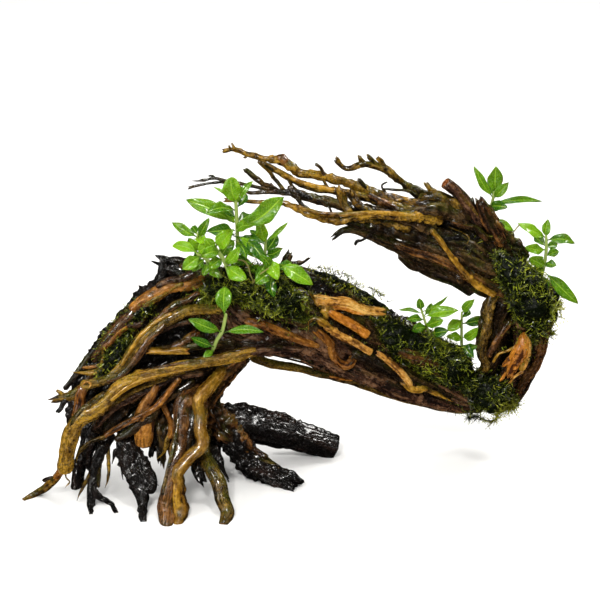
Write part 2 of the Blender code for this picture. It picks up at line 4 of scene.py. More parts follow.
import bmesh
import bpy
import numpy as np
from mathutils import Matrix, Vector


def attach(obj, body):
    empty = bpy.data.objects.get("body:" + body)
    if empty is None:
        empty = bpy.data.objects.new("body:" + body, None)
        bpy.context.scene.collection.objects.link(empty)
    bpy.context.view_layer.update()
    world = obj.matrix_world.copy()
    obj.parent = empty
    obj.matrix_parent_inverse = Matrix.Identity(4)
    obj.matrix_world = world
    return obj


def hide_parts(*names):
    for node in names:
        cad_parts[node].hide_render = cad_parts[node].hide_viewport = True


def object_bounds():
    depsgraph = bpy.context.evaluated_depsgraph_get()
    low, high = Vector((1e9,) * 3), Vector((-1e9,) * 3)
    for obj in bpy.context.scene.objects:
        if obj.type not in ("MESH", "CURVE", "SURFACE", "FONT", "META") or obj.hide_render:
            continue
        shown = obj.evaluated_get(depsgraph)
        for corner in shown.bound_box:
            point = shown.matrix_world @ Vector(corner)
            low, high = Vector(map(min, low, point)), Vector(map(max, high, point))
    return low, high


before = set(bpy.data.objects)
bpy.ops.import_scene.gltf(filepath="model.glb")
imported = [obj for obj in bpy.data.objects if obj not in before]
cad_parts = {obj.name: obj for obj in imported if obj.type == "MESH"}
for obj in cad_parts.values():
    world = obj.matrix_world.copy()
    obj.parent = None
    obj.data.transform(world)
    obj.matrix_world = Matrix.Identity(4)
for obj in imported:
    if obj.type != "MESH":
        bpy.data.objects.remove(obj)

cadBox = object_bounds()
mm = 0.001
floor = None  # in place of a depth, it puts that stop on the floor

# The tree is laid out over its front view: a stop is (column, row, depth in mm behind the front
# feet, radius in mm), in a view of 600 by 600 squares.
view = {
    "width": 0.382,
    "squares": 600,
    "distance": 1.05,
    "tilt": math.radians(22),
    "middle": (-0.002, 0.0, 0.1267),
    "feetBack": -0.0546,
    "sensor": 36.0,
}
lookAhead = np.array((0, math.cos(view["tilt"]), -math.sin(view["tilt"])))
lookUp = np.array((0, math.sin(view["tilt"]), math.cos(view["tilt"])))
eye = np.array(view["middle"]) - lookAhead * view["distance"]


def rayThrough(column, row):
    step = view["width"] / view["squares"] / view["distance"]
    middle = view["squares"] / 2
    across = np.array((1, 0, 0)) * (column - middle) * step
    return lookAhead + across + lookUp * (middle - row) * step


def spot(column, row, depth):
    ray = rayThrough(column, row)
    if depth is floor:
        return eye - ray * eye[2] / ray[2]
    return eye + ray * ((view["feetBack"] + depth * mm - eye[1]) / ray[1])


noiseTable = {"seed": 41, "size": 256}
dice = np.random.default_rng(noiseTable["seed"])
shuffled = dice.permutation(noiseTable["size"])
heights = dice.uniform(-1, 1, noiseTable["size"])


def cornersAround(part):
    # the eight corners of a cell, each with its share at a place inside the cell
    for corner in range(8):
        step = np.array((corner & 1, corner >> 1 & 1, corner >> 2))
        yield step, np.prod(np.where(step, part, 1 - part), axis=-1)


def noiseAt(places, seed):
    # smooth values from -1 to 1 over three dimensions
    last = noiseTable["size"] - 1
    cell = np.floor(places).astype(np.int64)
    part = places - cell
    total = 0.0
    for step, share in cornersAround(part * part * (3 - 2 * part)):
        index = cell + step
        key = shuffled[(index[..., 0] + seed * 37) & last]
        key = shuffled[(key + index[..., 1]) & last]
        key = shuffled[(key + index[..., 2]) & last]
        total = total + share * heights[key]
    return total


def unit(vectors):
    return vectors / np.maximum(np.linalg.norm(vectors, axis=-1, keepdims=True), 1e-9)


def runAlong(line):
    return np.concatenate([[0], np.cumsum(np.linalg.norm(np.diff(line, axis=0), axis=1))])


# How each kind of limb is carved. lump, ridge, bump, fine and wobble are shares of its radius, ridges
# is how closely furrows follow each other around it, knots are counted and twist is turned in each
# 0.1 m, flat squashes it, and bare is how far raw wood shows where it is broken or cut.
carvingParts = ("lump", "ridge", "ridges", "bump", "fine", "knots", "wobble", "twist", "flat", "bare")
carving = {
    "root": (0.15, 0.14, 1.9, 0.05, 0.05, 3.0, 0.24, 2.0, 0.0, 0.4),
    "leg": (0.13, 0.09, 1.7, 0.05, 0.04, 5.0, 0.14, 1.2, 0.0, 0.6),
    "trunk": (0.16, 0.26, 3.0, 0.10, 0.08, 3.0, 0.10, 2.5, 0.0, 0.2),
    "bark": (0.16, 0.10, 1.8, 0.30, 0.08, 7.0, 0.36, 3.0, 0.0, 0.12),
    "char": (0.20, 0.30, 2.2, 0.34, 0.15, 3.0, 0.28, 1.0, 0.0, 0.0),
    "torn": (0.14, 0.26, 2.6, 0.07, 0.12, 1.0, 0.15, 0.6, 0.35, 0.6),
    "fibre": (0.12, 0.28, 4.2, 0.05, 0.13, 1.0, 0.10, 0.8, 0.0, 0.12),
    "shard": (0.20, 0.16, 1.5, 0.14, 0.08, 3.0, 0.25, 0.3, 0.0, 0.3),
    "log": (0.06, 0.07, 2.2, 0.05, 0.05, 0.3, 0.04, 0.2, 0.10, 0.0),
    "hair": (0.1, 0.0, 1.0, 0.2, 0.0, 0.0, 1.2, 0.0, 0.0, 0.0),
    "moss": (0.22, 0.0, 1.5, 0.22, 0.14, 6.0, 0.1, 0.0, 0.0, 0.0),
    "stem": (0.08, 0.05, 1.2, 0.0, 0.02, 3.0, 0.35, 0.5, 0.0, 0.0),
}
limbDetail = {
    "side": 1.35 * mm, "ring": 1.4 * mm, "thinRing": 0.85 * mm, "thin": 3.0 * mm, "fewest": 8,
    "most": 52, "foot": 0.02 * mm, "between": 24, "below": 1.2,
}

# How the roots of a bundle lie along their limb: where along it they start and end, how far they
# drift and twist around it, and how their width changes
bundling = {
    "first": (0, 0.28), "last": (0.74, 1.0), "drift": 0.045, "driftTurn": 1.1, "apart": 0.25, "twist": 5,
    "swell": 0.02, "swellShare": 0.25, "widths": (0.8, 1.2), "within": 1.04, "sunk": 0.9, "fewest": 8,
    "fewestRings": 20,
}

# The lengths over which a limb sways and its surface changes
grainLength = {
    "sway": 0.022, "lump": 5 * mm, "furrow": 24 * mm, "bump": 2.6 * mm, "bumpAcross": 2.4 * mm,
    "fine": 15 * mm,
}
# Knots, as shares of the limb's radius, each with a dip around it
knot = {"wide": (0.45, 0.85), "high": (0.12, 0.34), "dip": 0.3, "dipAt": 1.3, "dipWide": 0.3}


def evenly(line, radii, gap):
    run = runAlong(line)
    count = max(5, round(run[-1] / gap))
    at = np.linspace(0, run[-1], count)
    return np.stack([np.interp(at, run, line[:, k]) for k in range(3)], 1), np.interp(at, run, radii)


def smoothLine(route, gap):
    # evenly spaced points and radii along a smooth curve through the stops
    places = np.array([spot(*stop[:3]) for stop in route])
    sizes = np.array([stop[3] * mm for stop in route])
    last = len(route) - 1
    share = np.linspace(0, 1, limbDetail["between"], endpoint=False)[:, None]
    line, radii = [], []
    for i in range(last):
        a, b, c, d = places[max(i - 1, 0)], places[i], places[i + 1], places[min(i + 2, last)]
        line.append(0.5 * (2 * b + (c - a) * share + (2 * a - 5 * b + 4 * c - d) * share**2
                           + (3 * b - a - 3 * c + d) * share**3))
        radii.append(sizes[i] + (sizes[i + 1] - sizes[i]) * share[:, 0])
    line = np.vstack(line + [places[-1:]])
    radii = np.concatenate(radii + [sizes[-1:]])
    if route[-1][2] is floor:  # it runs on below the floor, where it is cut off later
        onward = line[-1] + unit(line[-1] - line[-4]) * radii[-1] * limbDetail["below"]
        line = np.vstack([line, onward])
        radii = np.append(radii, radii[-1])
    return evenly(line, radii, gap)


def carriedAlong(line):
    # directions ahead, up and sideways at each point, turning as little as they can
    ahead = unit(np.gradient(line, axis=0))
    up = np.empty_like(line)
    start = np.array((0.0, 0.0, 1.0)) if abs(ahead[0, 2]) < 0.9 else np.array((0.0, -1.0, 0.0))
    for i, way in enumerate(ahead):
        start = start - way * (start @ way)
        start = start / np.linalg.norm(start)
        up[i] = start
    return ahead, up, np.cross(ahead, up)


def companions(line, radii, bundle, seed):
    # roots that run along a thick limb, half sunk into it, and wander around it
    picks = np.random.default_rng(seed)
    up, side = carriedAlong(line)[1:]
    run = np.arange(len(line)) * limbDetail["ring"]
    apart = bundling["apart"]
    made = []
    for k in range(bundle["count"]):
        first = int(picks.uniform(*bundling["first"]) * len(line))
        last = int(picks.uniform(*bundling["last"]) * len(line))
        drift = noiseAt(np.stack([run / bundling["drift"], run * 0 + k * 3.7, run * 0 + seed], 1), seed + k)
        turn = (math.tau * (k + picks.uniform(-apart, apart)) / bundle["count"]
                + drift * bundling["driftTurn"] + run * picks.normal(0, bundling["twist"]))
        swollen = noiseAt(np.stack([run / bundling["swell"], run * 0 + k, run * 0 + 5.5], 1), seed)
        swell = 1 + bundling["swellShare"] * swollen
        width = radii * bundle["size"] * swell * picks.uniform(*bundling["widths"])
        out = np.clip(radii * bundle["reach"], 0, radii * bundling["within"] - width * bundling["sunk"])
        path = line + out[:, None] * (up * np.sin(turn)[:, None] + side * np.cos(turn)[:, None])
        if last - first > bundling["fewest"]:
            made.append(evenly(path[first:last], width[first:last], limbDetail["ring"]))
    return made


def endShape(distance, radius, kind):
    # how a limb's radius closes towards an end, from the distance to it
    if kind == "t":  # tucked into what carries it
        near = np.clip(distance / radius, 0, 1)
        return np.maximum(np.sqrt(1 - (1 - near) ** 2), 0.12)
    if kind == "r":  # blunt and round
        near = np.clip(distance / (0.7 * radius), 0, 1)
        return np.maximum(np.sqrt(1 - (1 - near) ** 2), 0.2)
    if kind == "p":  # pointed
        return np.clip(distance / (7 * radius), 0.12, 1) ** 0.8
    return np.where(distance < 1e-6, 0.94, 1.0)  # c: cut, b: broken off


def shell(line, radii, kind, ends, seed):
    # one closed limb with its furrows, lumps and knots
    look = dict(zip(carvingParts, carving[kind]))
    picks = np.random.default_rng(seed)
    run = runAlong(line)
    ahead, up, side = carriedAlong(line)
    middle = float(radii.mean())
    sway = np.stack([run / grainLength["sway"], run * 0 + seed * 0.37, run * 0], 1)
    calm = np.clip(np.minimum(run, run[-1] - run) / (3 * middle), 0, 1) * look["wobble"] * radii
    line = (line + up * (noiseAt(sway, seed) * calm)[:, None]
            + side * (noiseAt(sway + 9.1, seed) * calm)[:, None])
    count = int(np.clip(round(math.tau * radii.max() / limbDetail["side"]),
                        limbDetail["fewest"], limbDetail["most"]))
    angle = np.linspace(0, math.tau, count, endpoint=False)[None, :] + np.zeros((len(line), 1))
    turned = angle + look["twist"] * run[:, None] / 0.1
    length = run[:, None] + np.zeros_like(angle)

    def around(times, stretch):
        return np.stack([np.cos(turned) * times + seed * 0.61, np.sin(turned) * times, length / stretch], -1)

    lump = noiseAt(around(0.75, max(2.2 * middle, grainLength["lump"])), seed)
    furrow = np.abs(noiseAt(around(look["ridges"], grainLength["furrow"]), seed + 3))
    bump = noiseAt(around(middle / grainLength["bumpAcross"], grainLength["bump"]), seed + 5)
    fine = noiseAt(around(look["ridges"] * 2.3, grainLength["fine"]), seed + 7)
    relief = (look["lump"] * lump + look["ridge"] * (1.9 * np.sqrt(furrow) - 1.1)
              + look["bump"] * bump + look["fine"] * fine)
    for _ in range(picks.poisson(look["knots"] * run[-1] / 0.1)):
        at, turn = picks.uniform(0, run[-1]), picks.uniform(0, math.tau)
        wide, high = picks.uniform(*knot["wide"]) * middle, picks.uniform(*knot["high"])
        apart = (angle - turn + math.pi) % math.tau - math.pi
        far = np.hypot(apart * middle, length - at) / wide
        dip = knot["dip"] * high * np.exp(-(((far - knot["dipAt"]) / knot["dipWide"]) ** 2))
        relief = relief + high * np.exp(-1.2 * far**2) - dip

    fit = radii * endShape(run, middle, ends[0]) * endShape(run[-1] - run, middle, ends[1])
    reach = fit[:, None] * (1 + relief)
    if kind == "log":  # squared by the saw
        corners = np.abs(np.cos(angle + 0.5)) ** 5 + np.abs(np.sin(angle + 0.5)) ** 5
        reach = reach * 0.94 * corners ** -0.2
    flat = 1 - look["flat"]
    points = (line[:, None] + side[:, None] * (reach * np.cos(angle))[..., None]
              + up[:, None] * (reach * np.sin(angle) * flat)[..., None])
    ragged = noiseAt(np.stack([np.cos(angle) * 2.6, np.sin(angle) * 2.6, angle * 0 + seed], -1), seed + 9)
    bare = np.zeros_like(angle)
    for end, (kept, away) in enumerate(((run, -1), (run[-1] - run, 1))):
        if ends[end] == "b":  # splinters, with raw wood on them
            pull = np.clip(1 - kept / (2.2 * middle), 0, 1)[:, None] * (ragged * 1.1 + 0.2)
            points = points + ahead[:, None] * (away * pull * middle)[..., None]
            raw = np.clip(1 - kept / (0.9 * middle), 0, 1)[:, None] * look["bare"]
            bare = np.maximum(bare, raw)
    grain = np.stack([np.cos(turned) * middle, np.sin(turned) * middle, length], -1)
    grain = grain + picks.uniform(-1, 1, 3)
    rings = len(line)
    index = np.arange(rings * count).reshape(rings, count)
    beside = np.roll(index, -1, axis=1)
    quads = np.stack([index[:-1], index[1:], beside[1:], beside[:-1]], -1).reshape(-1, 4)
    parts = [points.reshape(-1, 3)]
    grains, reliefs, bares = [grain.reshape(-1, 3)], [relief.reshape(-1)], [bare.reshape(-1)]
    triangles = []
    total = rings * count
    for end, ring in ((0, 0), (1, rings - 1)):  # close both ends
        sign = 1 if end else -1
        broken = ends[end] == "b"
        centre = points[ring].mean(0)
        opened = {"c": 1.0 if look["bare"] else 0.0, "b": look["bare"] * 1.4}.get(ends[end])
        rim = index[ring]
        if opened is not None:
            dent = -0.35 if broken else 0.03
            chips = ragged[ring] * (0.5 if broken else 0.03)
            inner = centre + (points[ring] - centre) * 0.62
            inner = inner + ahead[ring] * ((dent + chips) * sign * middle)[:, None]
            parts.append(inner)
            grains.append(grain[ring] * 0.6 + grain[ring].mean(0) * 0.4)
            reliefs.append(np.full(count, 0.05))
            bares.append(np.full(count, opened))
            inside = np.arange(total, total + count)
            nextInside, nextRim = np.roll(inside, -1), np.roll(rim, -1)
            collar = np.stack([rim, inside, nextInside, nextRim], -1)
            quads = np.vstack([quads, collar if end else collar[:, ::-1]])
            rim = inside
            total += count
        parts.append((centre + ahead[ring] * sign * middle * (0.02 if opened is None else -0.1))[None])
        grains.append(grain[ring].mean(0)[None])
        reliefs.append(np.zeros(1))
        bares.append(np.full(1, opened or 0.0))
        tris = np.stack([rim, np.full(count, total), np.roll(rim, -1)], -1)
        triangles.append(tris if end else tris[:, ::-1])
        total += 1
    return {
        "points": np.vstack(parts), "quads": quads, "triangles": np.vstack(triangles),
        "grain": np.vstack(grains), "relief": np.concatenate(reliefs), "bare": np.concatenate(bares),
        "shade": np.full(total, picks.uniform(0, 1)),
    }


def markPoints(mesh, label, values):
    # one value or vector at each point, for the materials to read
    kind, field = ("FLOAT_VECTOR", "vector") if values.ndim == 2 else ("FLOAT", "value")
    mesh.attributes.new(label, kind, "POINT").data.foreach_set(field, values.astype(np.float32).ravel())


def meshFrom(name, shells, slots, finishes, labels):
    # one mesh of all the shells, with what the materials read at each point
    points = np.vstack([s["points"] for s in shells])
    faces, faceSlots, start = [], [], 0
    for s, slot in zip(shells, slots):
        faces += (s["quads"] + start).tolist() + (s["triangles"] + start).tolist()
        faceSlots += [slot] * (len(s["quads"]) + len(s["triangles"]))
        start += len(s["points"])
    mesh = bpy.data.meshes.new(name)
    mesh.from_pydata(points.tolist(), [], faces)
    mesh.polygons.foreach_set("material_index", faceSlots)
    for label in labels:
        markPoints(mesh, label, np.concatenate([s[label] for s in shells]))
    for finish in finishes:
        mesh.materials.append(finish)
    mesh.shade_smooth()
    mesh.update()
    return mesh


def standOnFloor(mesh):
    # cuts off what reaches under the floor, and closes each foot flat
    if min(v.co.z for v in mesh.vertices) > 0:
        return
    work = bmesh.new()
    work.from_mesh(mesh)
    everything = work.verts[:] + work.edges[:] + work.faces[:]
    bmesh.ops.bisect_plane(work, geom=everything, plane_co=(0, 0, limbDetail["foot"]),
                           plane_no=(0, 0, 1), clear_inner=True)
    bmesh.ops.holes_fill(work, edges=[e for e in work.edges if e.is_boundary])
    work.to_mesh(mesh)
    work.free()


def placed(name, data):
    made = bpy.data.objects.new(name, data)
    bpy.context.scene.collection.objects.link(made)
    return made


def addPiece(nodeName, mesh):
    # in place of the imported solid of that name
    piece = placed(nodeName + "_grown", mesh)
    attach(piece, "root")
    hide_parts(nodeName)
    return piece


# Node helpers: a value that is a socket is linked, and any other is set on the socket
def node(tree, kind, values=None, **settings):
    made = tree.nodes.new(kind)
    for name, value in settings.items():
        setattr(made, name, value)
    for socket, value in (values or {}).items():
        if isinstance(value, bpy.types.NodeSocket):
            tree.links.new(value, made.inputs[socket])
        else:
            made.inputs[socket].default_value = value
    return made


surfaceSockets = [("Color", "color"), ("Roughness", "value"), ("Height", "value")]


def newGroup(name, inputs, outputs=surfaceSockets):
    group = bpy.data.node_groups.new(name, "ShaderNodeTree")
    kinds = {"color": "NodeSocketColor", "value": "NodeSocketFloat", "vector": "NodeSocketVector"}
    for label, kind, start in inputs:
        socket = group.interface.new_socket(name=label, in_out="INPUT", socket_type=kinds[kind])
        socket.default_value = (*start, 1) if kind == "color" else start
    for label, kind in outputs:
        group.interface.new_socket(name=label, in_out="OUTPUT", socket_type=kinds[kind])
    return group, group.nodes.new("NodeGroupInput").outputs, group.nodes.new("NodeGroupOutput")


def giveOut(group, out, found):
    for label, socket in found.items():
        group.links.new(socket, out.inputs[label])
    return group


def maths(tree, operation, a, b=0.0):
    return node(tree, "ShaderNodeMath", {0: a, 1: b}, operation=operation).outputs[0]


def times(tree, a, b):
    return maths(tree, "MULTIPLY", a, b)


def minus(tree, a, b):
    return maths(tree, "SUBTRACT", a, b)


def plus(tree, total, *others):
    for other in others:
        total = maths(tree, "ADD", total, other)
    return total


def swing(tree, value, share):
    # how far a value is from its middle, times a share
    return times(tree, minus(tree, value, 0.5), share)


def between(tree, value, low, high, least=0.0, most=1.0):
    made = node(tree, "ShaderNodeMapRange", {"Value": value, "From Min": low, "From Max": high,
                                             "To Min": least, "To Max": most})
    made.interpolation_type = "SMOOTHSTEP"
    return made.outputs["Result"]


def blended(tree, share, a, b):
    made = node(tree, "ShaderNodeMix", None, data_type="RGBA", blend_type="MIX")
    for label, value in (("Factor_Float", share), ("A_Color", a), ("B_Color", b)):
        socket = next(s for s in made.inputs if s.identifier == label)
        if isinstance(value, bpy.types.NodeSocket):
            tree.links.new(value, socket)
        else:
            socket.default_value = value
    return next(s for s in made.outputs if s.identifier == "Result_Color")


def stretched(tree, place, scale):
    return node(tree, "ShaderNodeMapping", {"Vector": place, "Scale": scale}).outputs[0]


def cloud(tree, place, scale, detail=3.0, rough=0.55):
    return node(tree, "ShaderNodeTexNoise", {"Vector": place, "Scale": scale, "Detail": detail,
                                             "Roughness": rough}).outputs["Fac"]


def grainClouds(tree, grain, sizes):
    return [cloud(tree, stretched(tree, grain, (across, across, along)), 1.0, detail, rough)
            for across, along, detail, rough in sizes.values()]


def read(tree, name, output="Fac"):
    return node(tree, "ShaderNodeAttribute", attribute_name=name).outputs[output]


# Clouds that are drawn out along a limb: their scale across and along it, detail and roughness
woodClouds = {
    "streak": (640, 62, 5.0, 0.68), "patch": (120, 50, 4.0, 0.6), "mottle": (520, 330, 3.0, 0.6),
    "fibre": (2100, 160, 2.0, 0.6), "seam": (430, 34, 2.0, 0.5), "rough": (1000, 800, 3.0, 0.7),
}
charClouds = {"streak": (600, 55, 5.0, 0.65), "patch": (90, 50, 3.0, 0.5), "rough": (620, 420, 3.0, 0.6)}
stemClouds = {"streak": (1500, 120, 3.0, 0.6)}
# hollowShade and burntHollowShade are painted shade for crevices
fixedTones = {
    "algae": (0.105, 0.115, 0.008, 1), "crack": (0.006, 0.004, 0.003, 1), "raw": (0.16, 0.05, 0.012, 1),
    "hollowShade": (0.0045, 0.003, 0.0022, 1), "burnt": (0.0055, 0.0045, 0.004, 1),
    "burntEdge": (0.002, 0.0018, 0.0015, 1), "burntHollowShade": (0.002, 0.0015, 0.0012, 1),
}


def makeWoodGrain():
    # streaks, cracks and patches that run along a limb, darker in its furrows (partly the wood's own,
    # partly painted shade), and painted shade in its crevices
    group, given, out = newGroup("woodGrain", [
        ("Light", "color", (0.5, 0.3, 0.1)), ("Middle", "color", (0.2, 0.1, 0.03)),
        ("Dark", "color", (0.02, 0.01, 0.01)), ("Bare", "color", (0.5, 0.2, 0.05)),
        ("Algae", "value", 0.3), ("Cracks", "value", 0.6), ("Pits", "value", 0.5),
        ("Balance", "value", 0.5), ("Streaks", "value", 1.0), ("HollowShade", "value", 0.93),
    ])
    grain, relief = read(group, "grain", "Vector"), read(group, "relief")
    bare, shade = read(group, "bare"), read(group, "shade")
    streak, patch, mottle, fibre, seam, rough = grainClouds(group, grain, woodClouds)
    seam = maths(group, "ABSOLUTE", minus(group, seam, 0.5))
    crack = times(group, between(group, seam, 0.0, 0.028, 1.0, 0.0), between(group, patch, 0.38, 0.6))
    lined = swing(group, streak, given["Streaks"])
    # relief lightens the crests and darkens the furrows: partly the wood's own darker furrows, partly painted
    # shade
    tone = plus(group, times(group, relief, 1.5), times(group, lined, 1.5), swing(group, patch, 2.0),
                swing(group, mottle, 1.3), swing(group, shade, 0.34), swing(group, fibre, 0.25),
                given["Balance"])
    colour = blended(group, between(group, tone, 0.12, 0.5), given["Dark"], given["Middle"])
    colour = blended(group, between(group, tone, 0.5, 0.98), colour, given["Light"])
    place = node(group, "ShaderNodeNewGeometry")
    upward = node(group, "ShaderNodeSeparateXYZ", {0: place.outputs["Normal"]}).outputs["Z"]
    film = between(group, cloud(group, place.outputs["Position"], 75.0, 4.0, 0.6), 0.42, 0.66)
    film = times(group, film, between(group, upward, -0.2, 0.8))
    colour = blended(group, times(group, film, given["Algae"]), colour, fixedTones["algae"])
    specks = node(group, "ShaderNodeTexVoronoi", {"Vector": grain, "Scale": 330.0}).outputs["Distance"]
    specks = times(group, between(group, specks, 0.16, 0.3, 1.0, 0.0), between(group, patch, 0.45, 0.62))
    pitted = times(group, between(group, rough, 0.5, 0.62), given["Pits"])
    spotted = maths(group, "MAXIMUM", times(group, specks, 0.7), pitted)
    colour = blended(group, spotted, colour, given["Dark"])
    colour = blended(group, times(group, crack, given["Cracks"]), colour, fixedTones["crack"])
    raw = blended(group, between(group, streak, 0.3, 0.7), fixedTones["raw"], given["Bare"])
    colour = blended(group, between(group, bare, 0.15, 0.75), colour, raw)
    # painted shade: where much wood is close by, the colour darkens to a near-black hollow tone
    paintedShade = times(group, between(group, read(group, "creviceShade"), 0.0, 1.0), given["HollowShade"])
    colour = blended(group, paintedShade, colour, fixedTones["hollowShade"])
    height = plus(group, times(group, lined, 0.8), times(group, fibre, 0.25))
    height = minus(group, height, times(group, crack, 0.9))
    height = minus(group, height, times(group, spotted, 0.35))
    height = plus(group, height, times(group, mottle, 0.7), times(group, rough, 0.55))
    return giveOut(group, out, {"Color": colour, "Height": height,
                                "Roughness": between(group, mottle, 0.32, 0.68, 0.06, 0.34)})


def makeWetFilm():
    # how wet the surface is from place to place
    group, given, out = newGroup("wetFilm", [
        ("Least", "value", 0.2), ("Most", "value", 1.0), ("Scale", "value", 120.0),
    ], [("Wet", "value")])
    place = node(group, "ShaderNodeNewGeometry").outputs["Position"]
    pool = cloud(group, place, given["Scale"], 3.0, 0.5)
    made = node(group, "ShaderNodeMapRange", {"Value": pool, "From Min": 0.36, "From Max": 0.6,
                                              "To Min": given["Least"], "To Max": given["Most"]})
    return giveOut(group, out, {"Wet": made.outputs["Result"]})


def makeCharCrackle():
    # burnt wood: small cubes between cracks, with painted shade in its crevices
    group, given, out = newGroup("charCrackle", [
        ("Glow", "color", (0.03, 0.018, 0.014)), ("Amount", "value", 0.6),
    ])
    grain = read(group, "grain", "Vector")
    fine = stretched(group, grain, (900, 900, 620))
    cubes = node(group, "ShaderNodeTexVoronoi", {"Vector": fine, "Scale": 1.0},
                 feature="DISTANCE_TO_EDGE").outputs["Distance"]
    each = node(group, "ShaderNodeTexVoronoi", {"Vector": fine, "Scale": 1.0})
    streak, patch, rough = grainClouds(group, grain, charClouds)
    edge = times(group, between(group, cubes, 0.0, 0.12, 1.0, 0.0), given["Amount"])
    cell = node(group, "ShaderNodeSeparateColor", {0: each.outputs["Color"]}).outputs[0]
    brown = times(group, between(group, patch, 0.46, 0.7), between(group, streak, 0.4, 0.62))
    colour = blended(group, brown, fixedTones["burnt"], given["Glow"])
    colour = blended(group, times(group, edge, 0.5), colour, fixedTones["burntEdge"])
    # painted shade: where much wood is close by, the char darkens to near black
    paintedShade = between(group, read(group, "creviceShade"), 0.0, 1.2)
    colour = blended(group, paintedShade, colour, fixedTones["burntHollowShade"])
    height = plus(group, times(group, cell, 0.3), times(group, streak, 1.1), times(group, rough, 1.0))
    height = minus(group, height, times(group, edge, 0.5))
    return giveOut(group, out, {"Color": colour, "Height": height,
                                "Roughness": between(group, rough, 0.35, 0.65, 0.05, 0.32)})


woodGrain, wetFilm, charCrackle = makeWoodGrain(), makeWetFilm(), makeCharCrackle()


def newMaterial(name):
    made = bpy.data.materials.new(name)
    made.use_nodes = True
    return made, made.node_tree, made.node_tree.nodes["Principled BSDF"]


def useGroup(tree, group, values):
    made = tree.nodes.new("ShaderNodeGroup")
    made.node_tree = group
    for label, value in values.items():
        made.inputs[label].default_value = (*value, 1) if isinstance(value, tuple) else value
    return made


def makeFinish(name, group, colours, wet, bumpHeight, sockets):
    # a material from a group that gives its surface, with water over it
    made, tree, shader = newMaterial(name)
    surface = useGroup(tree, group, colours)
    tree.links.new(surface.outputs["Color"], shader.inputs["Base Color"])
    tree.links.new(surface.outputs["Roughness"], shader.inputs["Roughness"])
    bump = node(tree, "ShaderNodeBump", {"Height": surface.outputs["Height"], "Distance": bumpHeight,
                                         "Strength": 1.0})
    tree.links.new(bump.outputs["Normal"], shader.inputs["Normal"])
    film = useGroup(tree, wetFilm, wet)
    tree.links.new(film.outputs["Wet"], shader.inputs["Coat Weight"])
    for label, value in sockets.items():
        shader.inputs[label].default_value = value
    return made


# The finishes of the wood: colours of its crests, body, furrows (partly painted shade) and bare breaks, then
# how much algae, cracks and pits it has, the balance between its dark and its light, its streaks and its
# painted crevice shade
finishParts = ("Light", "Middle", "Dark", "Bare", "Algae", "Cracks", "Pits", "Balance", "Streaks", "HollowShade")
woodFinishes = {
    "goldenWood": ((0.43, 0.225, 0.020), (0.17, 0.078, 0.006), (0.022, 0.009, 0.003), (0.50, 0.20, 0.03),
        0.45, 0.3, 0.35, 0.74, 0.45, 0.7),
    "oliveWood": ((0.31, 0.175, 0.020), (0.095, 0.050, 0.006), (0.010, 0.006, 0.002), (0.34, 0.14, 0.03), 0.5,
        0.4, 0.85, 0.52, 0.7, 0.93),
    "brownWood": ((0.22, 0.090, 0.020), (0.062, 0.023, 0.006), (0.009, 0.004, 0.002), (0.36, 0.13, 0.03), 0.3,
        0.7, 0.5, 0.47, 1.0, 0.93),
    "orangeWood": ((0.68, 0.28, 0.035), (0.37, 0.125, 0.012), (0.045, 0.013, 0.004), (0.60, 0.24, 0.035),
        0.05, 0.5, 0.15, 0.56, 0.8, 0.45),
    "paleWood": ((0.72, 0.43, 0.11), (0.48, 0.22, 0.035), (0.10, 0.035, 0.007), (0.62, 0.32, 0.08), 0.15, 0.6,
        0.3, 0.55, 1.0, 0.55),
    "darkWood": ((0.085, 0.045, 0.014), (0.020, 0.010, 0.004), (0.004, 0.0025, 0.0015), (0.14, 0.05, 0.015),
        0.35, 0.6, 0.5, 0.46, 1.0, 0.93),
    "rustWood": ((0.42, 0.175, 0.026), (0.18, 0.062, 0.009), (0.022, 0.007, 0.003), (0.46, 0.17, 0.025), 0.15,
        0.5, 0.4, 0.52, 0.9, 0.7),
    "ochreWood": ((0.37, 0.20, 0.018), (0.125, 0.060, 0.006), (0.012, 0.006, 0.002), (0.44, 0.18, 0.03), 0.5,
        0.4, 0.75, 0.55, 0.6, 0.75),
    "plumWood": ((0.175, 0.085, 0.040), (0.054, 0.022, 0.011), (0.008, 0.004, 0.003), (0.30, 0.10, 0.03),
        0.15, 0.8, 0.5, 0.50, 1.2, 0.93),
}
woods = {
    name: makeFinish(name, woodGrain, dict(zip(finishParts, finish)),
                     {"Least": 0.0, "Most": 1.0, "Scale": 210.0}, 0.5 * mm,
                     {"Coat Roughness": 0.09, "Specular IOR Level": 0.5, "IOR": 1.45})
    for name, finish in woodFinishes.items()
}
woods["charredWood"] = makeFinish(
    "charredWood", charCrackle, {"Glow": (0.03, 0.016, 0.012), "Amount": 0.6},
    {"Least": 0.0, "Most": 1.0, "Scale": 260.0}, 0.7 * mm,
    {"Coat Roughness": 0.08, "Specular IOR Level": 0.5})
tones = {"gold": "goldenWood", "olive": "oliveWood", "brown": "brownWood", "orange": "orangeWood",
         "pale": "paleWood", "dark": "darkWood", "char": "charredWood", "plum": "plumWood",
         "rust": "rustWood", "ochre": "ochreWood"}
toneOrder = list(tones)
allWood = [woods[tones[tone]] for tone in toneOrder]
print("finishes for the wood are ready")

woodPieces = {}
seeds = itertools.count(101)  # each limb and each root of a bundle takes the next


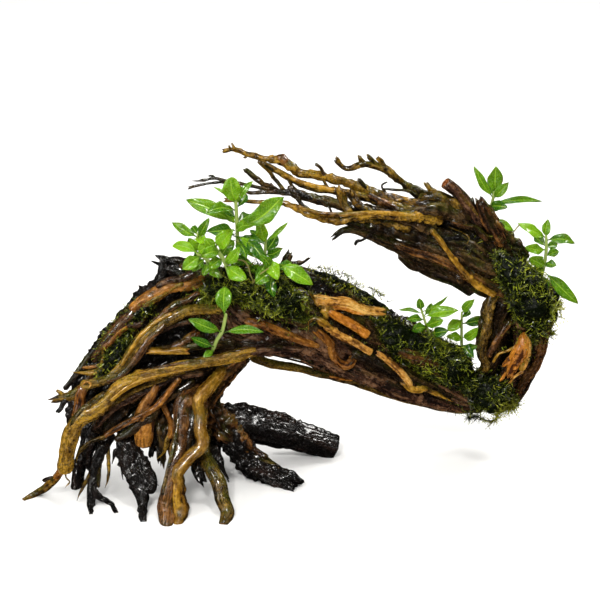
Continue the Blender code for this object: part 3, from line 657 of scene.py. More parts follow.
def addWood(nodeName, settings):
    # one piece of driftwood from all its limbs
    shells, slots = [], []
    for look, *route in settings["limbs"]:
        tone, kind, ends = look.split()
        seed = next(seeds)
        thin = max(stop[3] for stop in route) * mm < limbDetail["thin"]
        line, radii = smoothLine(route, limbDetail["thinRing" if thin else "ring"])
        slots.append(toneOrder.index(tone))
        bundled = kind == "trunk" or settings.get("bundleAll")
        if "bundle" not in settings or not bundled or len(line) <= bundling["fewestRings"]:
            shells.append(shell(line, radii, kind, ends, seed))
            continue
        bundle = settings["bundle"]
        shells.append(shell(line, radii * bundle["core"], kind, ends, seed))
        for i, (path, width) in enumerate(companions(line, radii, bundle, seed)):
            shells.append(shell(path, width, bundle["kind"], "tt", next(seeds)))
            slots.append(toneOrder.index(bundle["tones"][i % len(bundle["tones"])]))
    mesh = meshFrom(nodeName + "_grown", shells, slots, allWood, ("grain", "relief", "bare", "shade"))
    standOnFloor(mesh)
    woodPieces[nodeName] = addPiece(nodeName, mesh)


# Each limb is its look and then its route, stop by stop. The look is its finish, how it is carved and
# its two ends (t tucked in, r round, p pointed, c cut, b broken). A bundle lays roots along the limbs
# that are carved as trunk, or along every limb that is long enough where bundleAll says so.
addWood("base_log", {
    "bundle": {"core": 0.9, "count": 6, "reach": 0.72, "size": 0.36, "kind": "char",
        "tones": ["dark", "brown", "char", "brown"]},
    "limbs": [
        ("brown trunk tt", (254, 340, 73, 6.5), (230, 364, 71, 8), (210, 388, 68, 9), (206, 408, 68, 10),
            (222, 424, 70, 9)),
        ("char log tc", (212, 420, 69, 12), (226, 424, 72, 12.6), (250, 425, 78, 11.4), (285, 433, 82, 9.8),
            (316, 441, 86, 8.8), (336, 447, 87, 8.2)),
        ("char char tt", (220, 411, 73, 5), (250, 413, 80, 5), (284, 422, 84, 4.2), (314, 431, 88, 3)),
        ("char char tb", (214, 418, 70, 12), (246, 455, 58, 8), (270, 471, 49, 6.5), (294, 484, 39, 4.8)),
        ("dark char tt", (240, 449, 62, 4.5), (262, 459, 55, 4), (284, 473, 46, 2.6)),
        ("brown torn tt", (246, 447, 61, 2.2), (257, 451, 56, 2.6), (268, 458, 52, 2.2)),
        ("brown char tt", (206, 404, 64, 8), (220, 426, 62, 9.5), (236, 440, 60, 8), (252, 452, 56, 5)),
        ("char char tp", (208, 430, 68, 10), (216, 455, 60, 6.5), (229, 479, 46, 2)),
    ],
})
addWood("trunk_core", {
    "bundle": {"core": 0.98, "count": 7, "reach": 0.84, "size": 0.2, "kind": "bark",
        "tones": ["plum", "dark", "brown", "plum", "olive"]},
    "limbs": [
        ("plum trunk tt", (206, 296, 64, 10), (240, 318, 65, 13), (290, 328, 71, 14), (340, 345, 77, 13.5),
            (390, 366, 83, 11.5), (440, 385, 89, 10.5), (482, 396, 94, 8.5)),
        ("dark trunk tt", (256, 306, 60, 7), (300, 313, 64, 9.5), (340, 322, 70, 9.5), (380, 340, 76, 8.5),
            (420, 360, 83, 8), (460, 380, 88, 6)),
        ("dark fibre tt", (288, 306, 61, 6), (316, 311, 65, 7.4), (344, 320, 69, 7.4), (376, 337, 73, 6.4)),
        ("rust root tt", (244, 321, 52, 2), (264, 325, 52, 2.8), (284, 333, 53, 3), (302, 340, 55, 2.8),
            (320, 347, 59, 1.8)),
        ("plum trunk tt", (240, 343, 57, 5), (268, 346, 60, 5.5), (300, 352, 64, 5), (330, 362, 68, 6),
            (366, 374, 72, 7), (400, 388, 78, 7), (440, 400, 84, 6.5), (474, 405, 90, 5)),
        ("rust root tt", (312, 328, 61, 2.8), (323, 336, 60, 2.9), (331, 344, 60, 2.9), (332.5, 352, 61, 2.9),
            (337, 361, 62, 3), (345, 365, 63, 3.1), (352, 361, 65, 2.8), (352, 354, 68, 2)),
        ("olive torn tt", (368, 386, 76, 1.8), (386, 395, 79, 2), (404, 401, 83, 2), (424, 405, 88, 1.6)),
        ("brown root tt", (390, 345, 68, 2.6), (408, 353, 68, 3.1), (422, 357, 70, 3.1), (434, 365, 73, 2.6)),
        ("orange torn tt", (329, 377, 70, 1.5), (342, 378.5, 72, 1.6), (353, 380, 75, 1.3)),
        ("dark bark tt", (334, 375, 70, 1), (346, 376.5, 72, 1), (358, 380, 75, 0.9)),
        ("plum trunk tt", (206, 338, 60, 8), (226, 344, 60, 8), (254, 350, 64, 7)),
        ("plum fibre tt", (262, 336, 60, 4.4), (292, 345, 63, 5), (322, 357, 67, 5), (352, 372, 69, 4.6),
            (388, 384, 72, 4.6), (424, 396, 78, 4.4), (456, 404, 85, 4)),
        ("dark fibre tt", (352, 352, 65, 3.6), (372, 360, 66, 4.4), (396, 372, 69, 5), (424, 386, 75, 5),
            (452, 396, 82, 4)),
        ("brown fibre tt", (396, 346, 72, 4.4), (416, 356, 72, 5), (438, 368, 76, 4.6), (462, 382, 83, 4)),
        ("plum fibre tt", (366, 378, 70, 4), (392, 390, 75, 4.2), (420, 400, 81, 4), (448, 406, 87, 3.4)),
        ("pale hair tt", (306, 352, 62, 0.8), (313, 357, 63, 0.8), (321, 362, 65, 0.8)),
    ],
})
addWood("crown_knuckle", {
    "bundle": {"core": 0.88, "count": 8, "reach": 0.7, "size": 0.36, "kind": "root",
        "tones": ["dark", "brown", "dark", "char"]},
    "limbs": [
        ("char trunk bt", (166, 265, 70, 4.6), (198, 276, 74, 11), (228, 290, 84, 12), (256, 302, 92, 9)),
        ("dark trunk tt", (200, 290, 74, 12), (206, 330, 74, 14), (208, 372, 70, 12.5), (200, 400, 66, 9.5)),
        ("char char bt", (163, 262, 68, 2.4), (161, 276, 67, 3.6), (158, 290, 66, 3.4), (152, 300, 66, 3)),
    ],
})
addWood("trunk_low_root", {"limbs": [
    ("olive root tt", (250, 356, 69, 3), (271, 364.6, 72, 3.2), (301, 368.5, 75, 2.6), (325, 374, 78, 3),
        (362, 383, 83, 3.8), (405, 397, 89, 4.2), (450, 405, 94, 4.4), (484, 408, 98, 4)),
    ("brown hair tt", (250, 350, 64, 1), (266, 353, 66, 1), (286, 358, 69, 0.8), (306, 363, 72, 0.7),
        (318, 369, 75, 0.8), (330, 373, 76.5, 0.8)),
]})
addWood("trunk_ridge_root", {
    "bundleAll": True,
    "bundle": {"core": 0.82, "count": 5, "reach": 0.66, "size": 0.4, "kind": "char",
        "tones": ["char", "dark", "char"]},
    "limbs": [
        ("char char tt", (250, 280, 78, 7), (292, 278, 83, 8), (330, 291, 89, 7.5), (370, 311, 94, 7),
            (405, 329, 98, 7), (440, 348, 101, 7), (470, 366, 103, 6.5)),
        ("dark char tt", (262, 291, 72, 6), (290, 295, 75, 6), (320, 304, 79, 6), (350, 317, 83, 6)),
        ("dark bark tb", (284, 276, 80, 4), (287, 262, 80, 3.4), (290, 254, 80, 2.6)),
        ("dark bark tb", (284, 265, 80, 2.4), (296, 263, 80, 1.7), (303, 262, 80, 1.1), (309, 258, 80, 1)),
    ],
})
addWood("trunk_torn_root", {"limbs": [
    ("gold shard pt", (309, 292, 57, 1.6), (313, 297, 57.5, 3.2), (319, 303, 58, 4.8), (326, 307, 58.5, 4.6),
        (333, 304, 59.5, 3.6)),
    ("pale shard tb", (314, 298, 58, 3), (328, 301, 59, 3.8), (340, 301.5, 60.5, 3.1), (350, 303.5, 62, 3),
        (360, 308, 64, 3.1), (370, 311.5, 66.5, 3.1), (383, 312, 69, 2.4)),
    ("orange shard tt", (320, 306, 58.5, 3), (336, 306, 60.5, 2.8), (350, 309, 62.5, 2.4),
        (366, 313.5, 65, 2.2)),
    ("pale torn tt", (313, 295.5, 56.5, 1.2), (326, 297.5, 57, 1.2), (340, 298.5, 59, 1.1),
        (352, 301.5, 61, 1.1), (368, 308, 64, 1)),
    ("gold shard tb", (322, 307, 58, 3.4), (325.5, 312, 57.5, 2.6), (325, 319, 57.5, 1.6)),
    ("orange leg tc", (326, 310, 58.5, 2.4), (338, 317, 59, 3), (351, 324, 61, 3.2), (367, 335, 64, 3.1)),
]})
addWood("trunk_pale_root", {"limbs": [
    ("gold shard pt", (308.5, 331, 52, 1.1), (308.5, 325, 52, 1.3), (310.5, 320.5, 52, 1.7),
        (315, 318.5, 52.5, 2), (322, 322, 53, 2.3), (333, 331, 54.5, 2.4)),
    ("pale leg tc", (324, 325, 53.5, 2.4), (340, 335.4, 55.5, 2.5), (353.8, 342.3, 58.5, 2.5),
        (371, 352.5, 61, 2.4)),
    ("rust torn tt", (330, 333, 53.5, 1), (345, 341.5, 56, 1.1), (362, 351, 59, 1)),
    ("pale leg bt", (379, 354, 60, 1.9), (394, 365.5, 62.5, 2.3), (406, 378, 65.5, 2.3), (411, 386, 67.5, 2)),
    ("rust torn tt", (384, 361, 61, 0.9), (398, 372.5, 63.5, 0.9), (408, 384, 66.5, 0.9)),
    ("gold shard bt", (404, 382, 66.5, 2.4), (413.8, 390, 68.5, 2.6), (424.6, 388, 70.5, 2.4)),
    ("gold shard tp", (414, 387, 69, 2.4), (426, 389, 71.5, 2.3), (437, 393, 74.5, 2), (453, 402, 79, 0.9)),
]})
addWood("bend_outer_root", {"limbs": [
    ("plum root tt", (482, 402, 97, 7), (502, 401, 98, 7.5), (518, 385, 98, 7.5), (531, 357, 98, 7.5),
        (541, 328, 98, 7.5), (543, 302, 98, 8.5), (532, 280, 96, 9)),
    ("brown root tt", (514, 395, 93, 3.2), (524, 380, 91.5, 3.6), (534, 366, 91.5, 4), (540.5, 353, 92, 4),
        (543, 340, 92, 4), (546, 322, 94, 3.8), (548, 306, 96, 3)),
    ("brown root tt", (518, 378, 90, 2.2), (526, 366, 89.5, 2.6), (533, 352, 90, 2.6), (536, 336, 91, 2.4)),
    ("dark root tt", (508, 392, 104, 3.4), (524, 370, 105, 3.8), (536, 340, 105, 3.8), (540, 306, 104, 3.4)),
]})
addWood("bend_inner_root", {"limbs": [
    ("dark root tt", (476, 382, 89, 6), (491, 366, 90, 5.4), (497, 340, 90, 5.2), (500, 314, 91, 6),
        (508, 296, 91, 7)),
    ("olive root tt", (486, 372, 83, 3.4), (485.5, 363, 82, 3.6), (482, 354, 81, 3.4), (483, 344, 81, 3.3),
        (487, 328.6, 82, 3.5), (488.6, 313, 84, 3.6), (492, 298, 86, 3.6), (500, 288, 88, 3)),
    ("brown root tt", (488, 358, 80, 2), (490, 353, 80, 2.2), (495.7, 343, 80, 2.3), (503, 331, 81, 2.2),
        (511, 320, 82.5, 2)),
    ("dark bark tt", (478, 352, 90, 2), (480, 332, 91, 2.4), (484, 310, 92, 2.4), (492, 296, 92, 2)),
    ("dark trunk tt", (490, 384, 98, 5.5), (500, 344, 98, 6.5), (506, 300, 98, 6.5), (504, 276, 98, 6)),
    ("plum bark tt", (482, 388, 92, 4), (488, 360, 92, 4), (491, 330, 92, 4), (494, 304, 92, 4)),
]})
addWood("bend_front_root", {"limbs": [
    ("plum root tt", (500, 392, 86, 6), (512, 372, 86, 6.2), (521, 346, 88, 6), (522, 312, 89, 7),
        (518, 292, 91, 7)),
    ("orange leg bt", (509, 374, 77.5, 2.6), (513.5, 365, 76.5, 4), (518, 357, 76, 5.2), (521.5, 350, 76, 5),
        (523.5, 342, 76.5, 4), (524, 332, 78, 2.2)),
    ("orange leg bt", (506, 366, 77.5, 2.4), (512, 360, 76.5, 3.6), (518, 356, 76, 3.8)),
    ("gold shard tt", (521, 371, 76, 2.6), (523, 363, 75.5, 3), (525, 354, 75.5, 2.8)),
    ("pale leg pp", (518, 373, 74.5, 1), (524, 369, 74, 1.3), (527, 360, 73.5, 1.4), (529, 350, 74, 1.4),
        (529, 341, 75, 1.2), (524.5, 332, 76.5, 1)),
    ("orange torn bb", (501, 380, 79, 1.6), (503.5, 377, 78.5, 1.9), (506, 373, 78, 1.6)),
    ("gold hair tt", (493, 363, 79.5, 0.9), (498.6, 354, 78.5, 0.9), (508.6, 350, 77, 0.8),
        (519, 343.6, 76, 0.8)),
    ("pale hair tt", (508, 384, 78.5, 0.7), (514.3, 375.7, 77, 0.8), (523.6, 370.7, 74.5, 0.8)),
]})
addWood("bend_rear_root", {"limbs": [
    ("char root tt", (488, 392, 109, 4.5), (508, 374, 112, 5.5), (519, 338, 113, 6), (519, 302, 111, 6.5),
        (506, 274, 107, 6)),
    ("dark root tt", (494, 386, 106, 3), (504, 356, 108, 3.2), (508, 322, 108, 3.2), (504, 290, 106, 3)),
]})
addWood("arm_core", {
    "bundle": {"core": 0.94, "count": 6, "reach": 0.84, "size": 0.24, "kind": "fibre",
        "tones": ["dark", "brown", "char", "dark"]},
    "limbs": [
        ("dark trunk tt", (524, 286, 95, 12), (500, 262, 95, 12), (470, 246, 94, 10.5), (438, 236, 92, 8),
            (410, 227, 89, 6)),
        ("dark fibre tb", (512, 298, 92, 7), (480, 284, 91, 6.6), (446, 268, 90, 6), (412, 253, 88, 4.8),
            (384, 241, 86, 3.8), (358, 231, 83, 2.6), (345, 230, 81, 2.2), (336, 235, 81, 2)),
        ("brown fibre tt", (508, 292, 86, 5), (484, 282, 86, 5), (462, 270, 85, 4.8), (438, 258, 85, 4.4),
            (414, 250, 85, 3.6), (394, 243, 84, 2.6)),
        ("dark fibre tt", (500, 274, 86, 5), (476, 264, 85, 5), (452, 254, 84, 4.4), (428, 246, 84, 3.8),
            (402, 240, 84, 2.8)),
        ("dark fibre tt", (474, 293, 88, 3.4), (456, 282, 88, 3.4), (434, 274, 88, 3.2), (412, 266, 87, 2.6),
            (398, 255, 87, 2)),
        ("gold root tt", (431, 229, 81, 1.6), (439, 239, 80.5, 1.7), (448, 251, 80, 1.8), (459, 265, 80, 2),
            (470, 277, 80, 2.3), (480, 286, 80, 2.6), (496, 295, 82, 2.6)),
        ("char hair tb", (372, 234, 82, 1), (362, 240, 80, 0.9), (357, 241, 80, 1.2), (355, 245, 80, 0.9)),
        ("brown fibre tt", (488, 218, 88, 2.6), (495, 224, 86.5, 3.2), (501, 231, 86, 3.2),
            (506, 240, 86.5, 2.8)),
        ("char char tt", (520, 262, 104, 4), (498, 240, 104, 4.6), (472, 226, 103, 4), (448, 220, 101, 3)),
        ("dark bark tt", (470, 222, 86, 4), (452, 212, 84, 4.4), (434, 208, 83, 4), (414, 212, 82, 3),
            (392, 216, 82, 2)),
        ("olive bark tt", (466, 212, 88, 4), (450, 202, 88, 4), (434, 197, 89, 3.2), (418, 198, 91, 2.4)),
        ("dark bark tt", (506, 262, 88, 5), (480, 250, 88, 4.6), (452, 242, 87, 4), (428, 237, 86, 3)),
        ("dark bark tt", (446, 246, 88, 5), (420, 237, 86, 4.4), (398, 232, 84, 4), (374, 228, 82, 3.3),
            (352, 223.5, 80, 2.4), (334, 218, 78, 1.4)),
        ("olive bark tt", (412, 228, 84, 3.2), (392, 224, 82, 3), (372, 221, 80, 2.4), (352, 219, 78, 1.6)),
        ("char char tt", (508, 250, 98, 7), (476, 234, 98, 7), (448, 224, 97, 6), (420, 214, 96, 4)),
        ("dark char tt", (524, 262, 95, 6), (508, 242, 93, 5.5), (494, 224, 92, 4.5), (484, 204, 92, 3.4)),
        ("brown fibre tb", (504, 246, 88, 4), (491, 226, 87, 5), (484, 212, 87, 4.4), (480, 202, 87, 2.8)),
        ("brown fibre tt", (488, 240, 84.5, 2.6), (475, 228, 84, 2.4), (462, 224, 83, 2),
            (450, 221, 83, 1.6)),
        ("dark fibre tt", (490, 226, 94, 4), (470, 214, 93, 4), (452, 202, 93, 3.4), (438, 198, 94, 2.4)),
        ("olive hair tt", (448, 226, 90.8, 0.35), (456, 229, 89, 0.4), (464, 232.7, 88, 0.45),
            (469.7, 238, 85.8, 0.4), (465.7, 246, 84, 0.4)),
        ("olive hair tt", (456, 223, 84.9, 0.32), (474, 230, 85.4, 0.4), (488, 244, 87.5, 0.4)),
        ("olive hair tt", (480, 226, 86.2, 0.6), (492, 240, 87.6, 0.5), (500, 258, 84.4, 0.5)),
    ],
})
addWood("arm_long_branch", {"limbs": [
    ("dark fibre tt", (482, 234, 98, 8), (454, 217, 98, 7), (425, 207, 96, 4.4), (404, 202, 95, 3)),
    ("ochre bark tb", (425, 207, 95, 3.6), (392, 198, 94, 3.4), (363, 188, 92, 3), (340, 180, 91, 2.9),
        (320, 175, 90, 2.8), (300, 172, 88, 2.8), (290, 165, 87, 3.2), (280, 160, 87, 3.1),
        (266, 159, 86, 2.1), (246, 154, 86, 1.8), (234, 150, 86, 1.4), (225, 151, 86, 1.3)),
    ("brown bark tt", (287, 164, 86, 2.8), (281, 158, 86, 2.8), (276, 156, 86, 1.6)),
    ("olive bark tb", (236, 150, 86, 1), (233, 146, 86, 0.8), (232, 143, 86, 0.6)),
    ("olive bark tb", (231, 149, 86, 0.8), (229, 146, 85, 0.6)),
    ("dark bark tb", (324, 176, 89, 1.3), (321, 169, 88, 1), (316, 164, 88, 1.1)),
    ("olive bark tt", (322, 177, 89, 1), (326, 185, 88, 1), (330, 190, 86, 1)),
    ("olive bark tt", (258, 160, 85, 1.4), (268, 170, 85, 1.3), (276, 181, 84, 1.3), (286, 193, 82, 1.2)),
    ("dark bark tb", (367, 191, 91, 2.2), (362, 184, 90, 1.7), (359, 179.5, 90, 1.4)),
    ("olive bark tb", (247, 156, 86, 0.8), (244, 158, 86, 0.7)),
    ("dark hair tb", (388, 196, 92, 0.9), (383, 190, 91, 0.7), (382, 185, 91, 0.7), (387, 182, 91, 0.6)),
]})
addWood("arm_low_branch", {"limbs": [
    ("ochre bark tb", (442, 221, 88, 3.6), (426, 218, 82, 3.4), (407, 216, 77, 2.9), (367, 215, 75, 2.5),
        (340, 221, 74, 2.8), (316, 216, 74, 2.7), (296, 208, 74, 2.4), (282, 203, 74, 1.6),
        (256, 202, 74, 1.3), (243, 201, 74, 1.2), (226, 200, 74, 1.3)),
    ("gold root tt", (298, 206, 73, 1.3), (319, 213, 72, 1.6), (338, 215, 72, 1.7), (366, 213, 73, 1.6),
        (402, 215, 75, 1.6), (424, 218, 79, 1.3)),
    ("ochre bark tb", (374, 216, 76, 2.4), (362, 208, 77, 2.7), (354, 198, 78, 2.5), (350, 192.5, 78, 2.4)),
    ("ochre bark tb", (352, 214, 76, 3), (344, 203, 78, 3), (339, 192, 79, 2.8), (337.5, 188, 79, 2.2)),
    ("dark bark tt", (288, 186, 78, 1.6), (295, 194, 76, 1.5), (302, 204, 74, 1.6), (310, 210, 74, 1.4)),
]})
addWood("arm_fork_branch", {"limbs": [
    ("dark bark tb", (436, 230, 88, 6), (408, 220, 85, 4.2), (386, 213, 83, 3.6), (357, 209, 81, 3.4),
        (330, 203, 80, 3.5), (300, 196, 79, 2.9), (284, 193, 78, 2.1), (267, 192, 78, 1.5),
        (252, 193, 78, 1.1), (244, 190, 78, 1), (234, 184, 77, 1)),
    ("dark bark tb", (286, 193, 79, 2), (272, 188, 80, 1.7), (258, 180, 81, 1.7), (246, 170, 82, 1.6)),
    ("dark bark tp", (272, 190, 79, 1.4), (241, 183, 77, 1.2), (228, 181, 77, 1.1), (214, 178, 77, 1.1),
        (204, 180, 77, 0.9), (190, 181, 77, 0.8)),
    ("dark bark tb", (232, 181, 77, 0.9), (221, 182, 77, 1), (206, 184, 77, 0.9), (189, 188, 77, 0.9)),
    ("dark bark tb", (216, 179, 77, 0.8), (212, 176, 77, 0.7), (209, 176, 77, 0.6)),
    ("dark bark tb", (276, 191, 79, 1.2), (273, 187, 78, 0.9), (271, 184, 78, 0.7)),
    ("char bark tt", (330, 205, 79, 1.8), (318, 200, 78, 1.6), (306, 196, 77, 1.6), (296, 190, 78, 1.4)),
    ("dark hair tt", (320, 199, 77, 0.8), (328, 206, 76, 0.8), (332, 214, 75, 0.8)),
    ("brown bark tb", (404, 213, 84, 2.4), (388, 205, 83, 2.2), (374, 198, 83, 2.2), (370, 195, 83, 1.8)),
]})
addWood("arm_middle_branch", {"limbs": [
    ("olive bark tb", (424, 214, 90, 4), (398, 207, 88, 3.2), (370, 199, 86, 2.8), (342, 192, 85, 2.5),
        (316, 188, 84, 2.4), (300, 183, 84, 2.3), (284, 175, 84, 2.1), (272, 168, 84, 1.9),
        (262, 162, 84, 1.4)),
    ("gold bark tt", (340, 191, 84, 1.4), (316, 187, 82, 1.5), (298, 182, 82, 1.4), (284, 175, 82, 1.2)),
    ("olive bark tt", (288, 178, 84, 1.2), (292, 186, 83, 1.2), (298, 192, 80, 1.2)),
]})
addWood("arm_high_branch", {"limbs": [
    ("olive bark tt", (470, 226, 106, 6), (442, 213, 105, 4.4), (419, 196, 104, 3), (402, 182, 104, 2.7),
        (388, 170, 103, 2.5), (374, 165, 103, 2.4), (362, 164.5, 102, 2.2), (352, 168, 102, 2),
        (345, 168, 102, 1.6), (339, 164, 102, 1.3), (334, 160, 102, 1.1)),
    ("olive bark tb", (343, 167, 102, 1.5), (339, 161, 102, 1.4), (337, 158, 101, 1.2)),
    ("olive bark tb", (363, 165, 102, 2), (361, 160, 101, 1.6), (360, 157, 101, 1.3)),
    ("olive bark tb", (377, 167, 102, 1.9), (372, 160, 101, 1.6), (368, 156, 101, 1.4)),
    ("olive bark tb", (387, 171, 103, 2), (382, 162, 102, 1.7), (378, 158, 101, 1.4)),
    ("dark bark tt", (470, 218, 103, 3), (444, 204, 103, 2.4), (425, 192, 103, 2), (408, 185, 103, 1.5)),
    ("olive bark tb", (448, 208, 102, 3), (438, 196, 101, 2.4), (430, 187.5, 101, 1.7), (426, 183, 101, 1.3)),
    ("dark bark tb", (430, 205, 103, 1.2), (410, 192, 100, 1), (395, 190, 99, 0.9), (384, 189, 99, 0.8)),
]})
addWood("arm_cut_stub", {"limbs": [
    ("plum root tc", (484, 228, 91, 5), (474, 212, 89, 4.6), (461, 196.5, 87.5, 4.1),
        (445.5, 182.5, 86, 3.9)),
    ("olive bark tt", (478, 216, 86.4, 1.5), (466, 201, 85.2, 1.6), (453, 188.5, 84.2, 1.3)),
    ("dark bark tb", (484, 224, 90, 3), (481, 211, 89, 2.2), (479, 201, 89, 1.5)),
    ("dark bark tb", (476, 214, 89, 2.2), (473, 206, 88, 1.8), (471.5, 200, 88, 1.4)),
]})
print("trunk, bend and arm are grown")

addWood("front_root", {"limbs": [
    ("plum root tt", (304, 349, 56, 2), (276, 350, 51, 3.2), (252, 352, 47, 3.8), (236, 356, 43.5, 3.2)),
    ("ochre root tr", (266, 351, 50, 2), (252, 352, 47, 3.6), (236, 356, 43, 3.9), (212, 361, 39, 3.7),
        (181, 367, 33.5, 3.9), (158, 372, 29, 3.9), (135, 380, 24, 4), (118, 389, 20.5, 4.4),
        (107, 400, 18.5, 4.8), (94, 411, 17.5, 5.2), (82, 419, 16.5, 5.2), (75, 428, 16, 5.5),
        (70, 440, 15.5, 5.5), (67, 452, 15, 5.5), (65.5, 464, 14.5, 5.3), (65, 474, 14, 4.4)),
    ("olive root tt", (106, 393, 18.5, 2), (92, 402, 16.5, 2.1), (79, 413, 14.5, 2), (70, 428, 13, 1.6)),
    ("brown root tt", (244, 350, 45, 1.5), (214, 357, 39, 1.5), (184, 363, 33, 1.5), (156, 369, 28, 1.4),
        (132, 377, 23, 1.3)),
    ("gold root tt", (206, 364.5, 36, 1.4), (176, 371, 30, 1.5), (150, 377.5, 24.5, 1.5), (128, 387, 19, 1.5),
        (110, 401, 15, 1.5)),
    ("olive hair tp", (65, 468, 14.4, 0.6), (66, 477, 13, 0.6), (70, 482, 11, 0.5), (65, 488, 11, 0.4)),
]})
addWood("second_root", {"limbs": [
    ("olive root tt", (224, 309, 50, 3), (213, 309, 49, 3), (197, 309, 46, 3.3), (185, 311, 44, 4),
        (173, 317, 42, 4.5), (157, 326, 40, 4.7), (142, 340, 36, 4.5), (134, 352, 33, 4.3),
        (126, 365, 30.5, 3.9), (112, 378, 28.5, 3.5), (96, 383, 28, 3.2), (80, 386, 28, 3.5)),
    ("brown root tt", (166, 324, 38, 2), (152, 336, 35, 2.3), (142, 350, 32, 2.4), (133, 364, 29, 2.3),
        (120, 376, 27, 2), (106, 382, 26, 1.6)),
    ("brown root tt", (200, 292, 47.5, 1.8), (189, 300, 46, 2.1), (176, 305, 44, 2.4), (163, 315, 41, 2.4),
        (152, 324, 38, 2)),
    ("gold root tt", (172, 313, 39.5, 1.3), (156, 322, 37, 1.4), (140, 336, 32.5, 1.4), (130, 352, 29, 1.3),
        (121, 366, 27, 1.2)),
    ("olive root tb", (88, 386, 28, 3.5), (73, 396, 27, 3.2), (62, 398, 26.5, 2.6), (54, 400, 26, 2.2)),
    ("olive root tb", (67, 397, 27, 1.6), (61, 393, 27, 1.4), (57, 391, 27, 1.2)),
    ("rust torn tb", (83, 385, 27, 3.4), (80.5, 396, 25, 3.4), (79.5, 406, 23.5, 3.3), (77, 416, 21.5, 3),
        (75.5, 425, 20, 2.4)),
    ("char char tb", (67, 398, 25, 1.8), (63, 405, 24, 1.8), (59, 411, 23, 1.6)),
    ("pale hair tt", (82, 385, 24.5, 0.6), (86, 381.5, 24, 0.6), (91, 384, 24.5, 0.6), (88, 388.5, 25, 0.5)),
]})
addWood("third_root", {"limbs": [
    ("rust root tt", (206, 278, 58, 3.4), (188.5, 285, 55, 3.6), (176, 286, 53.5, 4), (167, 288, 52.5, 4.4),
        (157.7, 294, 51, 4.8), (148.5, 300, 49.5, 4.8), (140, 306, 48.5, 4.6), (130, 314, 47, 4.6)),
    ("brown root tt", (148, 300, 51, 4.4), (130, 314, 47.5, 4.6), (119, 326, 45, 4.6), (110, 338, 43, 4.3),
        (102, 350, 42, 3.8), (92, 362, 41, 3)),
    ("olive root tt", (184, 283, 51.5, 1.7), (168, 290, 49.5, 2), (154, 300, 47, 2), (142, 308, 45.5, 1.7)),
    ("plum root tt", (196, 270.8, 56, 2.4), (182, 278.5, 53.5, 2.6), (168, 281.5, 51.5, 2.5),
        (156, 288, 49.5, 2.2)),
    ("rust root tt", (128, 325, 43.5, 2), (121, 331, 42, 2.7), (110, 341.5, 40, 2.6), (102, 350, 39.5, 2)),
    ("plum root tt", (143, 323.5, 44, 1.8), (134, 325, 43, 2), (124, 326.5, 43, 1.6)),
    ("gold root tp", (112, 364, 40, 1.9), (97, 371.5, 39, 2.2), (86, 373, 38.5, 1.9), (69, 371.5, 38, 0.9)),
    ("rust root tt", (108, 362, 40, 1.3), (95, 366, 39.5, 1.2), (82, 368, 39, 1)),
    ("olive bark tt", (101.5, 346, 40, 1.4), (103, 357, 39, 1.4), (101, 366, 38.5, 1.3)),
    ("dark root tt", (102, 341, 44, 1.9), (88, 358, 43, 2), (78, 372, 41, 2), (64, 390, 38, 1.8)),
]})
addWood("middle_root", {"limbs": [
    ("dark root tb", (236, 344, 52, 4.6), (206, 346, 46, 3.6), (180, 349, 41.5, 3), (160, 351, 39.5, 2.8),
        (150, 351, 39, 2.4)),
    ("gold torn bb", (187, 351, 37, 2.6), (176, 350, 36.5, 3), (163, 351, 36, 3.1), (148, 351, 35.5, 2.9)),
    ("brown root bt", (196, 333, 44, 2), (189, 338, 43, 2.5), (180, 344, 41, 2.4), (170, 348, 39, 2)),
    ("plum root tt", (206, 319, 48, 1.8), (190, 321, 45.5, 2.1), (173, 325, 43, 2.1), (158, 333, 40, 1.8)),
]})
addWood("back_root", {
    "bundleAll": True,
    "bundle": {"core": 0.92, "count": 6, "reach": 0.76, "size": 0.34, "kind": "root",
        "tones": ["char", "dark", "brown", "char"]},
    "limbs": [
        ("char char tt", (194, 276, 78, 9), (158, 297, 68, 11), (122, 336, 58, 11), (98, 370, 50, 9.5),
            (80, 404, 44, 7), (72, 430, 40, 4)),
        ("char char tt", (192, 330, 62, 10), (160, 345, 55, 10), (126, 372, 50, 9), (104, 400, 46, 7)),
        ("dark char tt", (208, 352, 60, 7), (172, 360, 53, 7.4), (134, 381, 47, 7.4), (100, 404, 42, 5.8)),
    ],
})
addWood("rear_root", {
    "bundle": {"core": 0.82, "count": 6, "reach": 0.68, "size": 0.4, "kind": "root",
        "tones": ["char", "dark", "brown", "dark"]},
    "limbs": [
        ("char trunk tt", (198, 300, 86, 10), (162, 326, 84, 10.5), (132, 370, 74, 9), (104, 420, 62, 6.5),
            (86, 449, 54, 5)),
        ("char leg tc", (108, 412, 64, 6.5), (94, 436, 58, 5.4), (86, 449, 54, 5), (80, 468, 49, 4.4),
            (77, 486, floor, 4)),
    ],
})
